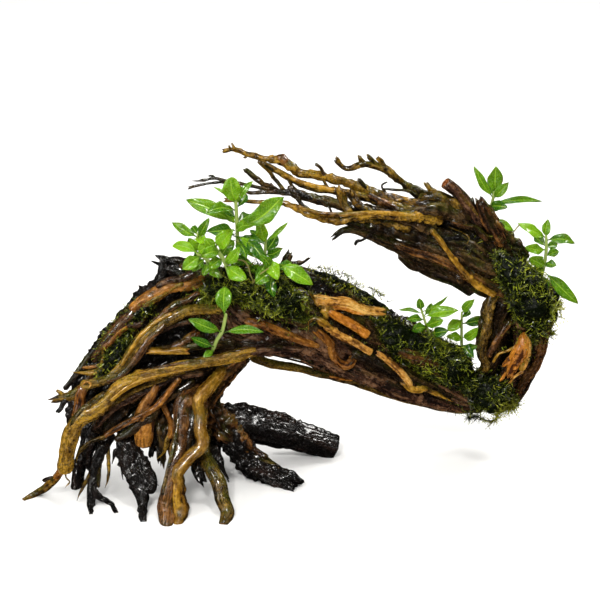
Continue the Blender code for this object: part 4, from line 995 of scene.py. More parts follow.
addWood("inner_root", {
    "bundle": {"core": 0.95, "count": 6, "reach": 0.8, "size": 0.26, "kind": "root",
        "tones": ["brown", "dark", "plum", "dark"]},
    "limbs": [
        ("dark trunk tt", (214, 362, 56, 9), (180, 384, 49, 8.5), (150, 408, 43, 8.5), (116, 432, 38, 6)),
        ("dark root tt", (128, 398, 37, 4), (114, 418, 33, 5), (104, 436, 31, 4)),
        ("dark char tt", (196, 384, 58, 7), (190, 410, 56, 6.4), (191, 436, 50, 5.6), (195, 458, 42, 4.6),
            (199, 474, 34, 3)),
        ("dark char tb", (164, 392, 47, 6), (158, 414, 45, 6.4), (157, 434, 41, 5), (158, 448, 38, 3)),
        ("dark char tb", (168, 424, 38, 3), (170, 444, 33, 2.6), (173, 459, 30, 1.6)),
        ("char char tb", (158, 426, 37, 3.4), (153, 442, 34, 2.8), (151, 455, 32, 1.4)),
        ("dark char tb", (196, 382, 52, 7.4), (168, 406, 45, 6.8), (160, 430, 38, 5), (161, 446, 34, 3.4),
            (161, 459, 31, 2.6)),
        ("rust root tt", (162, 402, 37, 1.8), (165, 409, 36, 2.1), (170, 420, 33, 2), (171.5, 431, 31, 2),
            (168, 439, 30, 1.7)),
        ("olive root tp", (170, 434, 31, 1.8), (167.7, 440, 30, 1.8), (164.6, 451, 29, 1.7),
            (157, 459, 28.5, 1.4)),
        ("dark trunk tt", (196, 366, 52, 7), (168, 376, 48, 7.5), (138, 392, 43, 7.5), (110, 412, 38, 6.5),
            (92, 434, 34, 4.6)),
        ("plum root tt", (204, 372, 42, 2.8), (180, 376, 38, 3), (156, 385, 34, 2.6), (132, 397, 29.5, 2.6),
            (108, 412, 26, 2.4), (94, 430, 25, 2)),
        ("dark root tt", (196, 380, 44, 3), (176, 392, 39, 3), (158, 404, 31.5, 2.6), (154, 415, 28.5, 3),
            (143, 423, 27, 3.1), (130, 432, 25.5, 3), (115, 441, 24.5, 2.5)),
        ("olive root tt", (186, 372, 38, 1.4), (160, 380, 33, 1.5), (134, 391, 27.5, 1.5),
            (112, 405, 23.5, 1.4)),
    ],
})
addWood("hanging_root", {"limbs": [
    ("rust leg tr", (161, 376, 36, 2.8), (157, 382, 36, 3.6), (152, 394, 33, 3.8), (146, 403, 31.5, 3.9),
        (143.5, 412, 31, 5.4), (143, 424, 31, 6.9), (143.5, 436, 31, 6.4), (144, 447, 31, 5)),
    ("rust torn tt", (143, 384, 33, 1.8), (147, 392, 32, 2.2), (147, 401, 30.5, 2.3), (144, 410, 28.5, 2)),
    ("rust torn tb", (150, 408, 29.5, 1.6), (152, 420, 28, 1.8), (151, 432, 28, 1.8), (149, 446, 29.5, 1.4)),
]})
addWood("thin_root", {"limbs": [
    ("rust root tt", (180, 377, 36.5, 2.2), (168, 392, 32.5, 2.4), (158, 404, 28.5, 2.3),
        (148, 412, 25.5, 2.1), (128, 423, 23.5, 1.9), (112, 432, 21.5, 1.8), (102, 438.5, 20.5, 1.6)),
    ("orange torn tt", (176, 382, 33.5, 1.2), (166, 394, 30, 1.4), (156, 405, 26.5, 1.3),
        (144, 413, 23.8, 1.1)),
    ("olive root tp", (106, 436, 20.5, 1.6), (92, 441.5, 19, 1.5), (83, 448, 17.5, 1.5),
        (77.5, 455, 16.5, 1.4), (76.5, 463, 16, 0.9)),
]})
addWood("brown_leg", {"limbs": [
    ("brown leg tc", (204, 388, 48, 5.6), (190, 396, 41, 6.2), (183, 405, 36, 6.6), (182, 426, 28, 5.6),
        (179, 448, 20, 5.1), (174, 463, 14.5, 4.5), (170, 478, 9.5, 4.2), (167, 494, 5, 4.9),
        (165.5, 506, 2.5, 5.6), (166.5, 521, floor, 4.9)),
    ("dark root tt", (196, 402, 39, 2.8), (191, 424, 30, 2.8), (186, 446, 22.5, 2.4), (179, 464, 16, 2),
        (174, 484, 9, 1.6)),
    ("olive root tt", (180, 412, 29, 1.3), (177, 432, 21.5, 1.4), (173, 452, 14.5, 1.4), (167, 472, 8.5, 1.4),
        (163, 496, 1.5, 1.4)),
]})
addWood("golden_leg", {"limbs": [
    ("gold leg rc", (225, 367, 49, 3), (221.5, 371.5, 48, 3.5), (211, 384.6, 41, 4.3), (198.5, 401, 34, 5.2),
        (200.5, 414, 30, 4.5), (200, 429, 25, 4.3), (201.5, 444.6, 20, 4.4), (190, 457, 15, 4),
        (177.5, 472, 10.5, 4.9), (178.5, 483, 7.5, 4.5), (179, 495, 5, 4.5), (181, 509, 2, 5.1),
        (179.5, 520, floor, 4)),
    ("brown root tt", (206, 394, 41, 1.6), (205.5, 412, 33, 1.5), (205, 430, 28, 1.4), (205, 446, 22, 1.3)),
]})
addWood("olive_leg", {"limbs": [
    ("olive leg tc", (206, 430, 58, 4.6), (203, 444, 38, 4.6), (204, 457, 30, 4.3), (210.8, 469, 20, 4.2),
        (218.5, 483, 12, 4.7), (221.5, 498.5, 6, 4.7), (227, 512, 1.5, 4.3), (225, 521, floor, 3.4)),
    ("char char tp", (212, 446, 38, 3.4), (221, 464, 32, 2.8), (229, 482, 26, 1.8)),
    ("char char tb", (192, 452, 30, 4), (196, 464, 25, 4.2), (199, 474, 21, 3.8), (202, 481, 17, 2.4)),
    ("dark root tt", (207, 452, 34, 1.8), (216, 468, 22, 1.7), (224, 484, 13, 1.6), (227, 500, 6, 1.4)),
]})
addWood("black_leg", {"limbs": [
    ("char char tc", (134, 418, 40, 5), (122, 440, 32, 5.6), (124, 456, 27, 5.4), (127, 468, 23, 5),
        (138, 483, 17.5, 4.7), (143, 497, 11.5, 4.1), (142.5, 508, 6.5, 2.9), (143, 520, floor, 1.8)),
    ("char char tt", (128, 436, 33, 5), (134, 454, 29, 4.9), (141, 468, 25, 5), (151, 480, 20, 4),
        (147, 494, 14, 3)),
    ("char char tt", (122, 432, 38, 4.5), (128, 450, 31, 5), (134, 466, 26, 5), (144, 478, 21, 4.6),
        (146, 490, 15, 3.4)),
    ("char char tp", (146, 474, 22, 3.4), (152, 480, 20.5, 2.6), (159, 486, 19, 1)),
    ("char char tp", (124, 462, 25, 3.2), (122, 472, 23, 2.2), (123, 480, 21, 1.2)),
    ("char char tp", (117, 448, 29, 3.4), (114, 456, 28, 2.6), (112, 464, 27, 1.4)),
]})
addWood("forked_leg", {"limbs": [
    ("char char tc", (112, 432, 34, 4.4), (106, 443, 30, 3.8), (100, 454, 27, 3.5), (95.4, 466, 24, 3.3),
        (93.8, 478, 21.5, 3.2), (92.3, 492, 18, 3.2), (91, 505, 15, 2.6), (91, 513, floor, 1.4)),
    ("char char tc", (94, 490, 18, 2.6), (100, 497, 17.5, 2.3), (106, 500, 17, 2), (112, 505, 16.5, 1.7),
        (116, 512, floor, 1.2)),
    ("dark root tt", (100, 462, 24, 1.4), (98.5, 475, 21, 1.6), (98.5, 488, 18, 1.2)),
    ("char char tp", (104, 404, 42, 6), (91, 426, 38, 6), (82, 458, 31, 3.8), (76, 482, 26, 1.6)),
    ("char char tt", (96, 416, 40, 6), (90, 440, 34, 4.6), (88, 458, 30, 3), (92, 472, 25, 2)),
    ("olive hair tp", (92, 468, 24, 1.3), (86, 481.5, 20, 1.3), (77, 500.8, 16, 0.9)),
    ("olive hair tp", (108, 440, 30, 1.3), (107.5, 460, 25, 1.3), (107.7, 472, 22, 1.2), (105, 488, 18, 0.9)),
]})
addWood("left_foot", {"limbs": [
    ("rust root tt", (66, 463, 17, 2.8), (63, 468, 18, 2.9), (59, 473, 20, 2.7), (55, 479, 23, 2.4)),
    ("ochre root tc", (60, 471, 20, 2.4), (55.4, 479, 23, 2.6), (49, 485, 26, 2.7), (43, 489.5, 27.5, 2.5),
        (37, 493, 28.5, 2.4), (26, 499, floor, 1.8)),
    ("dark bark tb", (56, 480, 25, 1.7), (51, 478, 26, 1.6), (45, 480, 27, 1.3)),
]})
woodFaces = sum(len(piece.data.polygons) for piece in woodPieces.values())
print("roots and legs are grown:", woodFaces, "faces of wood")


def pointsOf(mesh, kind):
    values = np.empty(len(mesh.vertices) * 3, np.float32)
    source = mesh.vertices if kind == "co" else mesh.vertex_normals
    source.foreach_get("co" if kind == "co" else "vector", values)
    return values.reshape(-1, 3).astype(float)


# Painted shade, darker where much wood is close by: the wood is counted in small cells, the count is
# blurred, and each point reads it a little way out from its own surface
creviceShade = {"cell": 1.5 * mm, "blur": 2.6 * mm, "out": 2.6 * mm, "edge": 12 * mm, "open": 0.30, "deep": 0.93}


def markCreviceShade():
    points = {name: pointsOf(piece.data, "co") for name, piece in woodPieces.items()}
    normals = {name: pointsOf(piece.data, "normal") for name, piece in woodPieces.items()}
    everywhere = np.vstack(list(points.values()))
    low = everywhere.min(0) - creviceShade["edge"]
    shape = np.ceil((everywhere.max(0) + creviceShade["edge"] - low) / creviceShade["cell"]).astype(int)
    filled = np.zeros(shape)
    filled[tuple(((everywhere - low) / creviceShade["cell"]).astype(int).T)] = 1
    spectrum = np.fft.rfftn(filled)
    waves = [np.fft.fftfreq(shape[0]), np.fft.fftfreq(shape[1]), np.fft.rfftfreq(shape[2])]
    fall = (2 * math.pi * creviceShade["blur"] / creviceShade["cell"]) ** 2 / 2
    for axis, wave in enumerate(waves):
        form = [1, 1, 1]
        form[axis] = -1
        spectrum = spectrum * np.exp(-fall * wave**2).reshape(form)
    density = np.fft.irfftn(spectrum, s=shape)
    found = {}
    for name in woodPieces:
        at = (points[name] + normals[name] * creviceShade["out"] - low) / creviceShade["cell"] - 0.5
        cell = np.floor(at).astype(int)
        value = 0
        for step, share in cornersAround(at - cell):
            value = value + density[tuple((cell + step).T)] * share
        found[name] = value
    spread = np.concatenate(list(found.values()))
    least, most = np.quantile(spread, creviceShade["open"]), np.quantile(spread, creviceShade["deep"])
    for name, piece in woodPieces.items():
        markPoints(piece.data, "creviceShade", np.clip((found[name] - least) / (most - least), 0, 1))
    return everywhere, np.vstack(list(normals.values()))


woodPoints, woodNormals = markCreviceShade()
print("crevices are marked")


def makeMossTint():
    # painted shade deep inside, green along the frond, bright at its tip
    group, given, out = newGroup("mossTint", [
        ("DeepShade", "color", (0.0025, 0.004, 0.001)), ("Body", "color", (0.024, 0.038, 0.0028)),
        ("Tip", "color", (0.29, 0.34, 0.014)), ("Straw", "color", (0.42, 0.42, 0.03)),
    ])
    rise, tint, straw = read(group, "rise"), read(group, "tint"), read(group, "straw")
    place = node(group, "ShaderNodeNewGeometry").outputs["Position"]
    patch = cloud(group, place, 95.0, 3.0, 0.6)
    fine = cloud(group, place, 900.0, 2.0, 0.5)
    bright = plus(group, times(group, rise, 0.75), swing(group, tint, 0.5), swing(group, patch, 1.9))
    colour = blended(group, between(group, bright, -0.1, 0.42), given["DeepShade"], given["Body"])
    colour = blended(group, between(group, bright, 0.42, 0.98), colour, given["Tip"])
    dry = times(group, straw, between(group, rise, 0.0, 0.8, 0.25, 1.0))
    colour = blended(group, dry, colour, given["Straw"])
    return giveOut(group, out, {"Color": colour, "Height": fine,
                                "Roughness": between(group, fine, 0.3, 0.7, 0.15, 0.5)})


def makeLeafVeins():
    # a pale midrib and side veins on a green blade, from how far across and along it each point is
    group, given, out = newGroup("leafVeins", [
        ("Young", "color", (0.17, 0.36, 0.006)), ("Grown", "color", (0.02, 0.095, 0.003)),
        ("Vein", "color", (0.30, 0.50, 0.03)),
    ])
    blade = node(group, "ShaderNodeSeparateXYZ", {0: read(group, "blade", "Vector")}).outputs
    across = maths(group, "ABSOLUTE", blade["X"])
    sweep = minus(group, times(group, blade["Y"], 9.0), times(group, across, 1.7))
    wave = maths(group, "ABSOLUTE", minus(group, maths(group, "FRACT", sweep), 0.5))
    side = times(group, between(group, wave, 0.0, 0.09, 1.0, 0.0), between(group, across, 0.92, 0.5))
    rib = between(group, across, 0.035, 0.11, 1.0, 0.0)
    place = node(group, "ShaderNodeNewGeometry").outputs["Position"]
    patch = cloud(group, place, 160.0, 3.0, 0.6)
    mottle = cloud(group, place, 1100.0, 2.0, 0.5)
    age = plus(group, swing(group, patch, 0.9), read(group, "tint"), swing(group, mottle, 0.5))
    colour = blended(group, between(group, age, 0.0, 1.0), given["Grown"], given["Young"])
    colour = blended(group, times(group, side, 0.45), colour, given["Vein"])
    colour = blended(group, times(group, rib, 0.8), colour, given["Vein"])
    height = minus(group, minus(group, times(group, mottle, 0.35), times(group, side, 0.8)), rib)
    return giveOut(group, out, {"Color": colour, "Height": height,
                                "Roughness": between(group, mottle, 0.3, 0.7, 0.14, 0.36)})


def makeStemSkin():
    # green where it is young and brown where it is old
    group, given, out = newGroup("stemSkin", [
        ("Fresh", "color", (0.30, 0.40, 0.09)), ("Old", "color", (0.16, 0.10, 0.03)),
    ])
    grain, shade = read(group, "grain", "Vector"), read(group, "shade")
    streak = grainClouds(group, grain, stemClouds)[0]
    age = plus(group, shade, swing(group, streak, 0.9))
    colour = blended(group, between(group, age, 0.2, 0.9), given["Old"], given["Fresh"])
    return giveOut(group, out, {"Color": colour, "Height": streak,
                                "Roughness": between(group, streak, 0.3, 0.7, 0.28, 0.5)})


mossTint, leafVeins, stemSkin = makeMossTint(), makeLeafVeins(), makeStemSkin()
mossFinish = makeFinish("mossFrond", mossTint, {}, {"Least": 0.0, "Most": 0.9, "Scale": 420.0}, 0.1 * mm,
                        {"Coat Roughness": 0.1, "Specular IOR Level": 0.5})
# the core under the fronds, painted in the deep shade colour
mossShadeBed = makeFinish("mossShadeBed", mossTint, {"Tip": (0.03, 0.035, 0.004)},
                     {"Least": 0.0, "Most": 0.02, "Scale": 300.0}, 0.5 * mm, {"Specular IOR Level": 0.12})
leafFinish = makeFinish("leafBlade", leafVeins, {}, {"Least": 0.0, "Most": 0.5, "Scale": 170.0}, 0.14 * mm,
                        {"Coat Roughness": 0.08, "Specular IOR Level": 0.5, "Subsurface Weight": 0.08,
                         "Subsurface Scale": 0.0008})
stemFinish = makeFinish("stemSkin", stemSkin, {}, {"Least": 0.1, "Most": 0.7, "Scale": 200.0}, 0.08 * mm,
                        {"Coat Roughness": 0.1, "Specular IOR Level": 0.5})

# Moss: fronds that stand or lie on each clump, and shorter ones that creep over the wood beside it.
# Depths are shares of the clump's radius, and reach is counted in its widest radius.
moss = {
    "stemSteps": 5, "width": 0.25 * mm, "leaflet": (0.27 * mm, 0.66 * mm), "length": (2.2 * mm, 6.6 * mm),
    "bend": (0.15, 0.7), "core": 0.84, "lying": 0.8, "lyingDepth": (0.86, 1.02),
    "standingDepth": (0.66, 0.96), "lift": 0.22, "stray": 0.7, "creepStray": 0.6, "creepLength": 0.62,
    "reach": 2.2, "fade": 1.9, "underShare": 0.15, "sunk": 0.4 * mm, "baldPatch": 7 * mm,
    "baldEdge": 0.16, "longPatch": 9 * mm, "longShare": 0.35, "tintShare": 0.4, "dry": 0.8, "yellow": 0.85,
}


def frondArrays(roots, ways, lengths, picks):
    # every frond is a narrow bent ribbon with a small leaflet on both sides of each of its steps
    count, steps = len(roots), moss["stemSteps"]
    side = unit(np.cross(ways, unit(picks.normal(size=(count, 3)))))
    bend = unit(picks.normal(size=(count, 3)) + np.array((0, 0, 0.2)))
    bend = bend * picks.uniform(*moss["bend"], count)[:, None]
    share = np.linspace(0, 1, steps + 1)
    line = (roots[:, None] + ways[:, None] * (lengths[:, None] * share)[..., None]
            + bend[:, None] * (lengths[:, None] * share**2)[..., None])
    half = moss["width"] / 2 * (1 - 0.8 * share)[None, :, None] * picks.uniform(0.7, 1.3, (count, 1, 1))
    left, right = line - side[:, None] * half, line + side[:, None] * half
    ahead = unit(np.diff(line, axis=1))
    middle = (line[:, 1:] + line[:, :-1]) / 2
    reach = picks.uniform(*moss["leaflet"], (count, steps, 1)) * (1.15 - 0.7 * share[:-1])[None, :, None]
    lift = unit(picks.normal(size=(count, steps, 3))) * 0.45
    tipLeft = middle + (ahead * 0.75 - side[:, None] + lift) * reach
    tipRight = middle + (ahead * 0.75 + side[:, None] + lift[:, ::-1]) * reach
    points = np.concatenate([left, right, tipLeft, tipRight], 1).reshape(-1, 3)
    rings, size = steps + 1, 4 * steps + 2
    i = np.arange(steps)
    one = np.vstack([
        np.stack([i, i + 1, rings + i], 1), np.stack([i + 1, rings + i + 1, rings + i], 1),
        np.stack([i, 2 * rings + i, i + 1], 1),
        np.stack([rings + i, rings + i + 1, 2 * rings + steps + i], 1),
    ])
    faces = (one[None] + (np.arange(count) * size)[:, None, None]).reshape(-1, 3)
    rise = np.concatenate([share, share, share[1:], share[1:]])
    return points, faces, np.tile(rise, count), size


def frondsOn(line, radii, number, lean, picks):
    # where fronds start on one route of a clump, and which way they go
    ahead, up, side = carriedAlong(line)
    area = np.cumsum(radii)
    at = np.searchsorted(area, picks.uniform(0, area[-1], number))
    turn = picks.uniform(0, math.tau, number)
    out = up[at] * np.sin(turn)[:, None] + side[at] * np.cos(turn)[:, None]
    nearEnd = np.minimum(at, len(line) - 1 - at) * limbDetail["ring"]
    endWay = np.where(at < len(line) / 2, -1, 1)[:, None] * ahead[at]
    share = np.clip(1 - nearEnd / radii.max(), 0, 1)[:, None]
    out = unit(out * (1 - share) + endWay * share + 1e-6)
    lying = (picks.uniform(0, 1, number) < moss["lying"])[:, None]
    level = unit(np.cross(out, picks.normal(size=(number, 3))))
    depth = np.where(lying, picks.uniform(*moss["lyingDepth"], (number, 1)),
                     picks.uniform(*moss["standingDepth"], (number, 1)))
    way = np.where(lying, level + out * moss["lift"], out + picks.normal(0, moss["stray"], (number, 3)))
    return line[at] + out * depth * radii[at][:, None], unit(way + lean)


def frondsBeside(routes, number, underside, lean, picks):
    # the same for the wood beside a clump
    spread = np.vstack([smoothLine(route, 4 * mm)[0] for route in routes])
    wide = max(stop[3] for route in routes for stop in route) * mm
    low, high = spread.min(0) - wide * moss["reach"], spread.max(0) + wide * moss["reach"]
    close = np.where(np.all((woodPoints > low) & (woodPoints < high), axis=1))[0]
    far = np.min(np.linalg.norm(woodPoints[close][:, None] - spread[None], axis=2), axis=1)
    fit = np.where(woodNormals[close][:, 2] > underside, 1.0, moss["underShare"])
    chance = np.clip(moss["fade"] - far / wide, 0, 1) ** 2 * fit
    chosen = close[picks.choice(len(close), number, p=chance / chance.sum())]
    way = woodNormals[chosen] + lean + picks.normal(0, moss["creepStray"], (number, 3))
    return woodPoints[chosen] - woodNormals[chosen] * moss["sunk"], unit(way)


def mossMesh(name, points, faces, marks, slots):
    mesh = bpy.data.meshes.new(name)
    mesh.vertices.add(len(points))
    mesh.vertices.foreach_set("co", points.astype(np.float32).ravel())
    mesh.loops.add(faces.size)
    mesh.loops.foreach_set("vertex_index", faces.astype(np.int32).ravel())
    mesh.polygons.add(len(faces))
    mesh.polygons.foreach_set("loop_start", np.arange(len(faces), dtype=np.int32) * 3)
    for label, values in marks.items():
        markPoints(mesh, label, values)
    for finish in (mossFinish, mossShadeBed):
        mesh.materials.append(finish)
    mesh.polygons.foreach_set("material_index", slots.astype(np.int32))
    mesh.update(calc_edges=True)
    mesh.validate()
    return mesh


def addMoss(nodeName, clump):
    # one clump: a core painted dark as shade under its fronds
    picks = np.random.default_rng(clump["seed"])
    routes, lean = clump["routes"], np.array(clump["lean"])
    total = sum(stop[3] for route in routes for stop in route)
    cores, grown = [], []
    for i, route in enumerate(routes):
        line, radii = smoothLine(route, limbDetail["ring"])
        core = radii * clump.get("core", moss["core"])
        cores.append(shell(line, core, "moss", "tt", clump["seed"] + i))
        number = int(clump["fronds"] * sum(stop[3] for stop in route) / total)
        grown.append(frondsOn(line, radii, number, lean, picks))
    number = int(clump["fronds"] * clump["creep"])
    grown.append(frondsBeside(routes, number, clump["underside"], lean, picks))
    roots, ways = (np.vstack(found) for found in zip(*grown))
    thick = noiseAt(roots / moss["baldPatch"] + 3.3, clump["seed"])
    thick = thick + picks.normal(0, moss["baldEdge"], len(roots)) > clump["bald"]
    for *place, reach in clump.get("clear", []):
        thick &= np.linalg.norm(roots - spot(*place), axis=1) > reach * mm
    roots, ways = roots[thick], ways[thick]
    number = int(thick[-number:].sum())
    lengths = picks.uniform(*moss["length"], len(roots)) * clump["long"]
    lengths[-number:] *= moss["creepLength"]
    patchy = noiseAt(roots / moss["longPatch"], clump["seed"])
    lengths = lengths * (1 + moss["longShare"] * patchy)
    points, faces, rise, size = frondArrays(roots, ways, lengths, picks)
    tint = picks.uniform(0, 1, len(roots)) + moss["tintShare"] * patchy + clump.get("tint", 0)
    tint = np.repeat(tint, size)
    straw = np.repeat(picks.uniform(0, 1, len(roots)) < clump["straw"], size) * moss["dry"]
    if "yellow" in clump:  # one end of the clump has dried out
        *place, reach = clump["yellow"]
        close = np.clip(1.3 - np.linalg.norm(points - spot(*place), axis=1) / (reach * mm), 0, 1)
        straw = np.maximum(straw, close * moss["yellow"])
    faces, slots = [faces], [0] * len(faces)
    allPoints = [points]
    start = len(points)
    for core in cores:
        quads = core["quads"]
        faces.append(np.vstack([quads[:, :3], quads[:, [0, 2, 3]], core["triangles"]]) + start)
        slots += [1] * len(faces[-1])
        allPoints.append(core["points"])
        start += len(core["points"])
    inner = np.zeros(start - len(points))
    # the cores read a rise below zero, so they take the painted deep shade colour
    marks = {"rise": np.concatenate([rise, inner - 0.2]), "tint": np.concatenate([tint, inner]),
             "straw": np.concatenate([straw, inner])}
    inBox = np.clip(np.vstack(allPoints), np.array(cadBox[0]), np.array(cadBox[1]))
    mesh = mossMesh(nodeName + "_grown", inBox, np.vstack(faces), marks, np.array(slots))
    addPiece(nodeName, mesh)


# bald is the noise below which no frond grows, creep how many more creep over the wood beside, long
# scales them, straw is the share that is dry, and underside how far down wood may face and still
# carry much moss. yellow and clear are spots with a reach in mm: one dried out, others free of moss.
clumps = {
    "moss_crown": {"bald": -0.32, "seed": 11, "fronds": 4500, "creep": 0.35, "lean": (0, -0.1, 0.25),
        "long": 1.0, "underside": -0.3, "straw": 0.05, "routes": [[(206, 296, 52, 3), (228, 284, 54, 11),
        (258, 288, 54, 13), (286, 304, 55, 10), (302, 316, 58, 3)]]},
    "moss_left": {"bald": -0.2, "seed": 12, "fronds": 1550, "creep": 0.8, "lean": (-0.1, -0.1, 0.2),
        "long": 0.75, "underside": -0.2, "straw": 0.16, "routes": [[(150, 306, 46, 2), (132, 317, 48, 6),
        (116, 336, 46, 6.5), (102, 352, 43, 2)], [(120, 340, 44, 5), (116, 358, 38, 7), (104, 372, 36, 3)]]},
    "moss_ridge": {"bald": 0.0, "seed": 13, "fronds": 1900, "creep": 0.6, "lean": (0.1, 0, 0.1), "long": 0.62,
        "underside": 0.0, "straw": 0.3, "core": 0.4, "routes": [[(306, 272, 86, 2), (328, 278, 88, 7),
        (354, 291, 92, 7.6), (380, 306, 95, 7), (396, 318, 96, 2)]]},
    "moss_trunk": {"clear": [(380, 355, 58, 8), (394, 366, 60, 8), (406, 378, 63, 8), (424, 389, 67, 8),
        (440, 395, 71, 7)], "bald": -0.1, "seed": 14, "fronds": 4300, "creep": 0.4, "lean": (0, -0.1, 0.2),
        "long": 1.0, "underside": -0.2, "straw": 0.05, "routes": [[(372, 326, 76, 3), (392, 338, 76, 11),
        (418, 350, 81, 13), (446, 364, 85, 14), (470, 380, 87, 9), (482, 390, 88, 3)]]},
    "moss_bend_low": {"bald": -0.4, "seed": 15, "fronds": 2200, "creep": 0.3, "lean": (0.1, -0.1, 0.0),
        "long": 0.9, "underside": -1.0, "straw": 0.1, "yellow": (500, 412, 76, 12), "tint": -0.35,
        "routes": [[(472, 388, 85, 4), (484, 391, 81, 12), (497, 397, 81, 11.4), (509, 402, 84, 5)],
        [(472, 411, 80, 0.5), (468.6, 419, 78, 0.5), (474, 416.5, 77, 0.5), (481, 418.6, 77, 0.5),
        (489, 421, 77, 0.5), (495, 420.5, 77, 0.5), (499, 411, 78, 0.5)]]},
    "moss_bend_top": {"bald": -0.26, "seed": 16, "fronds": 4700, "creep": 0.35, "lean": (0.1, -0.05, 0.15),
        "long": 1.0, "underside": -0.5, "straw": 0.07, "yellow": (556, 312, 96, 16),
        "routes": [[(498, 258, 82, 3), (514, 274, 81, 12), (530, 298, 81, 14), (534, 322, 82, 11),
        (532, 336, 83, 4)], [(532, 288, 96, 12), (544, 306, 99, 12), (549, 328, 99, 5)]]},
}
for nodeName, clump in clumps.items():
    addMoss(nodeName, clump)
print("moss is grown")

# Leaves: closed thin blades. Each runs from its base to its tip, both as (column, row, depth), with its
# width in mm, how far it arches in mm, how far its face turns from the sky to the viewer in degrees,
# how young it is, and for some, how far along it is widest.
leafDetail = {
    "across": 9, "along": 15, "thick": 0.42 * mm, "petiole": 0.12, "stalk": 0.34 * mm, "tip": 0.03 * mm,
    "widest": 0.46, "fullness": 0.78, "waves": 0.14, "waveTurns": (9, 14), "fold": 0.16,
    "folds": (0.5, 1.3), "rib": -0.35 * mm, "ribWide": 0.16, "curl": 0.05, "stemRing": 0.9 * mm,
}


def leafShell(form, seed):
    base, tip, width, arch, face, tint = form[:6]
    peak = form[6] if len(form) > 6 else leafDetail["widest"]
    width = width * mm
    picks = np.random.default_rng(seed)
    start, end = spot(*base), spot(*tip)
    along = end - start
    ahead = unit(along)
    turned = math.radians(face)
    side = unit(np.cross((0, -math.sin(turned), math.cos(turned)), ahead))
    normal = np.cross(ahead, side)
    rows, columns = leafDetail["along"], leafDetail["across"]
    share = np.linspace(0, 1, rows)[:, None]
    across = np.linspace(-1, 1, columns)[None, :]
    bulge = np.sin(math.pi * share)
    body = np.clip((share - leafDetail["petiole"]) / (1 - leafDetail["petiole"]), 0, 1)
    half = np.sin(math.pi * body ** (math.log(0.5) / math.log(peak))) ** leafDetail["fullness"]
    half = np.maximum(width / 2 * half, leafDetail["stalk"] * (1 - share) + leafDetail["tip"])
    rise = arch * mm * 4 * share * (1 - share)
    ripple = np.sin(share * picks.uniform(*leafDetail["waveTurns"]) + picks.uniform(0, 6))
    waves = leafDetail["waves"] * width * ripple * np.abs(across) ** 2
    fold = leafDetail["fold"] * width * np.abs(across) * bulge * picks.uniform(*leafDetail["folds"])
    rib = np.exp(-((across / leafDetail["ribWide"]) ** 2)) * np.sin(math.pi * np.clip(share, 0.02, 1))
    curl = picks.normal(0, leafDetail["curl"]) * width * across
    height = rise + waves + fold + leafDetail["rib"] * rib + curl
    sweep = picks.normal(0, leafDetail["curl"]) * np.linalg.norm(along) * bulge
    places = (start + along * share[..., None] + side * (across * half + sweep)[..., None]
              + normal * height[..., None])
    thick = leafDetail["thick"] / 2 * (1 - 0.75 * across**2) * (1 - 0.7 * share)
    top, under = places + normal * thick[..., None], places - normal * thick[..., None]
    index = np.arange(rows * columns).reshape(rows, columns)
    upper = np.stack([index[:-1, :-1], index[:-1, 1:], index[1:, 1:], index[1:, :-1]], -1).reshape(-1, 4)
    lower = upper[:, ::-1] + rows * columns
    rim = np.concatenate([index[0, :-1], index[:-1, -1], index[-1, :0:-1], index[:0:-1, 0]])
    following = np.roll(rim, -1)
    wall = np.stack([following, rim, rim + rows * columns, following + rows * columns], -1)
    quads = np.vstack([upper, lower, wall])
    if np.cross(along, side) @ normal > 0:
        quads = quads[:, ::-1]
    blade = np.stack([across + share * 0, share + across * 0, share * 0 + across * 0], -1).reshape(-1, 3)
    count = 2 * rows * columns
    return {"points": np.vstack([top.reshape(-1, 3), under.reshape(-1, 3)]), "quads": quads,
            "triangles": np.zeros((0, 3), int), "grain": np.zeros((count, 3)), "relief": np.zeros(count),
            "bare": np.zeros(count), "shade": np.full(count, 0.5), "blade": np.vstack([blade, blade]),
            "tint": np.full(count, tint)}


def addPlant(nodeName, stems, leaves, seed):
    # a shoot with its stem, twigs and leaves, or one large leaf
    shells = []
    for i, route in enumerate(stems):
        line, radii = smoothLine(route, leafDetail["stemRing"])
        made = shell(line, radii, "stem", "tr", seed + i)
        made["shade"][:] = 0.4 if i else 0.85
        made["blade"], made["tint"] = np.zeros((len(made["shade"]), 3)), made["shade"]
        shells.append(made)
    for i, form in enumerate(leaves):
        shells.append(leafShell(form, seed + 50 + i))
    slots = [0] * len(stems) + [1] * len(leaves)
    labels = ("grain", "relief", "bare", "shade", "blade", "tint")
    addPiece(nodeName, meshFrom(nodeName + "_grown", shells, slots, (stemFinish, leafFinish), labels))


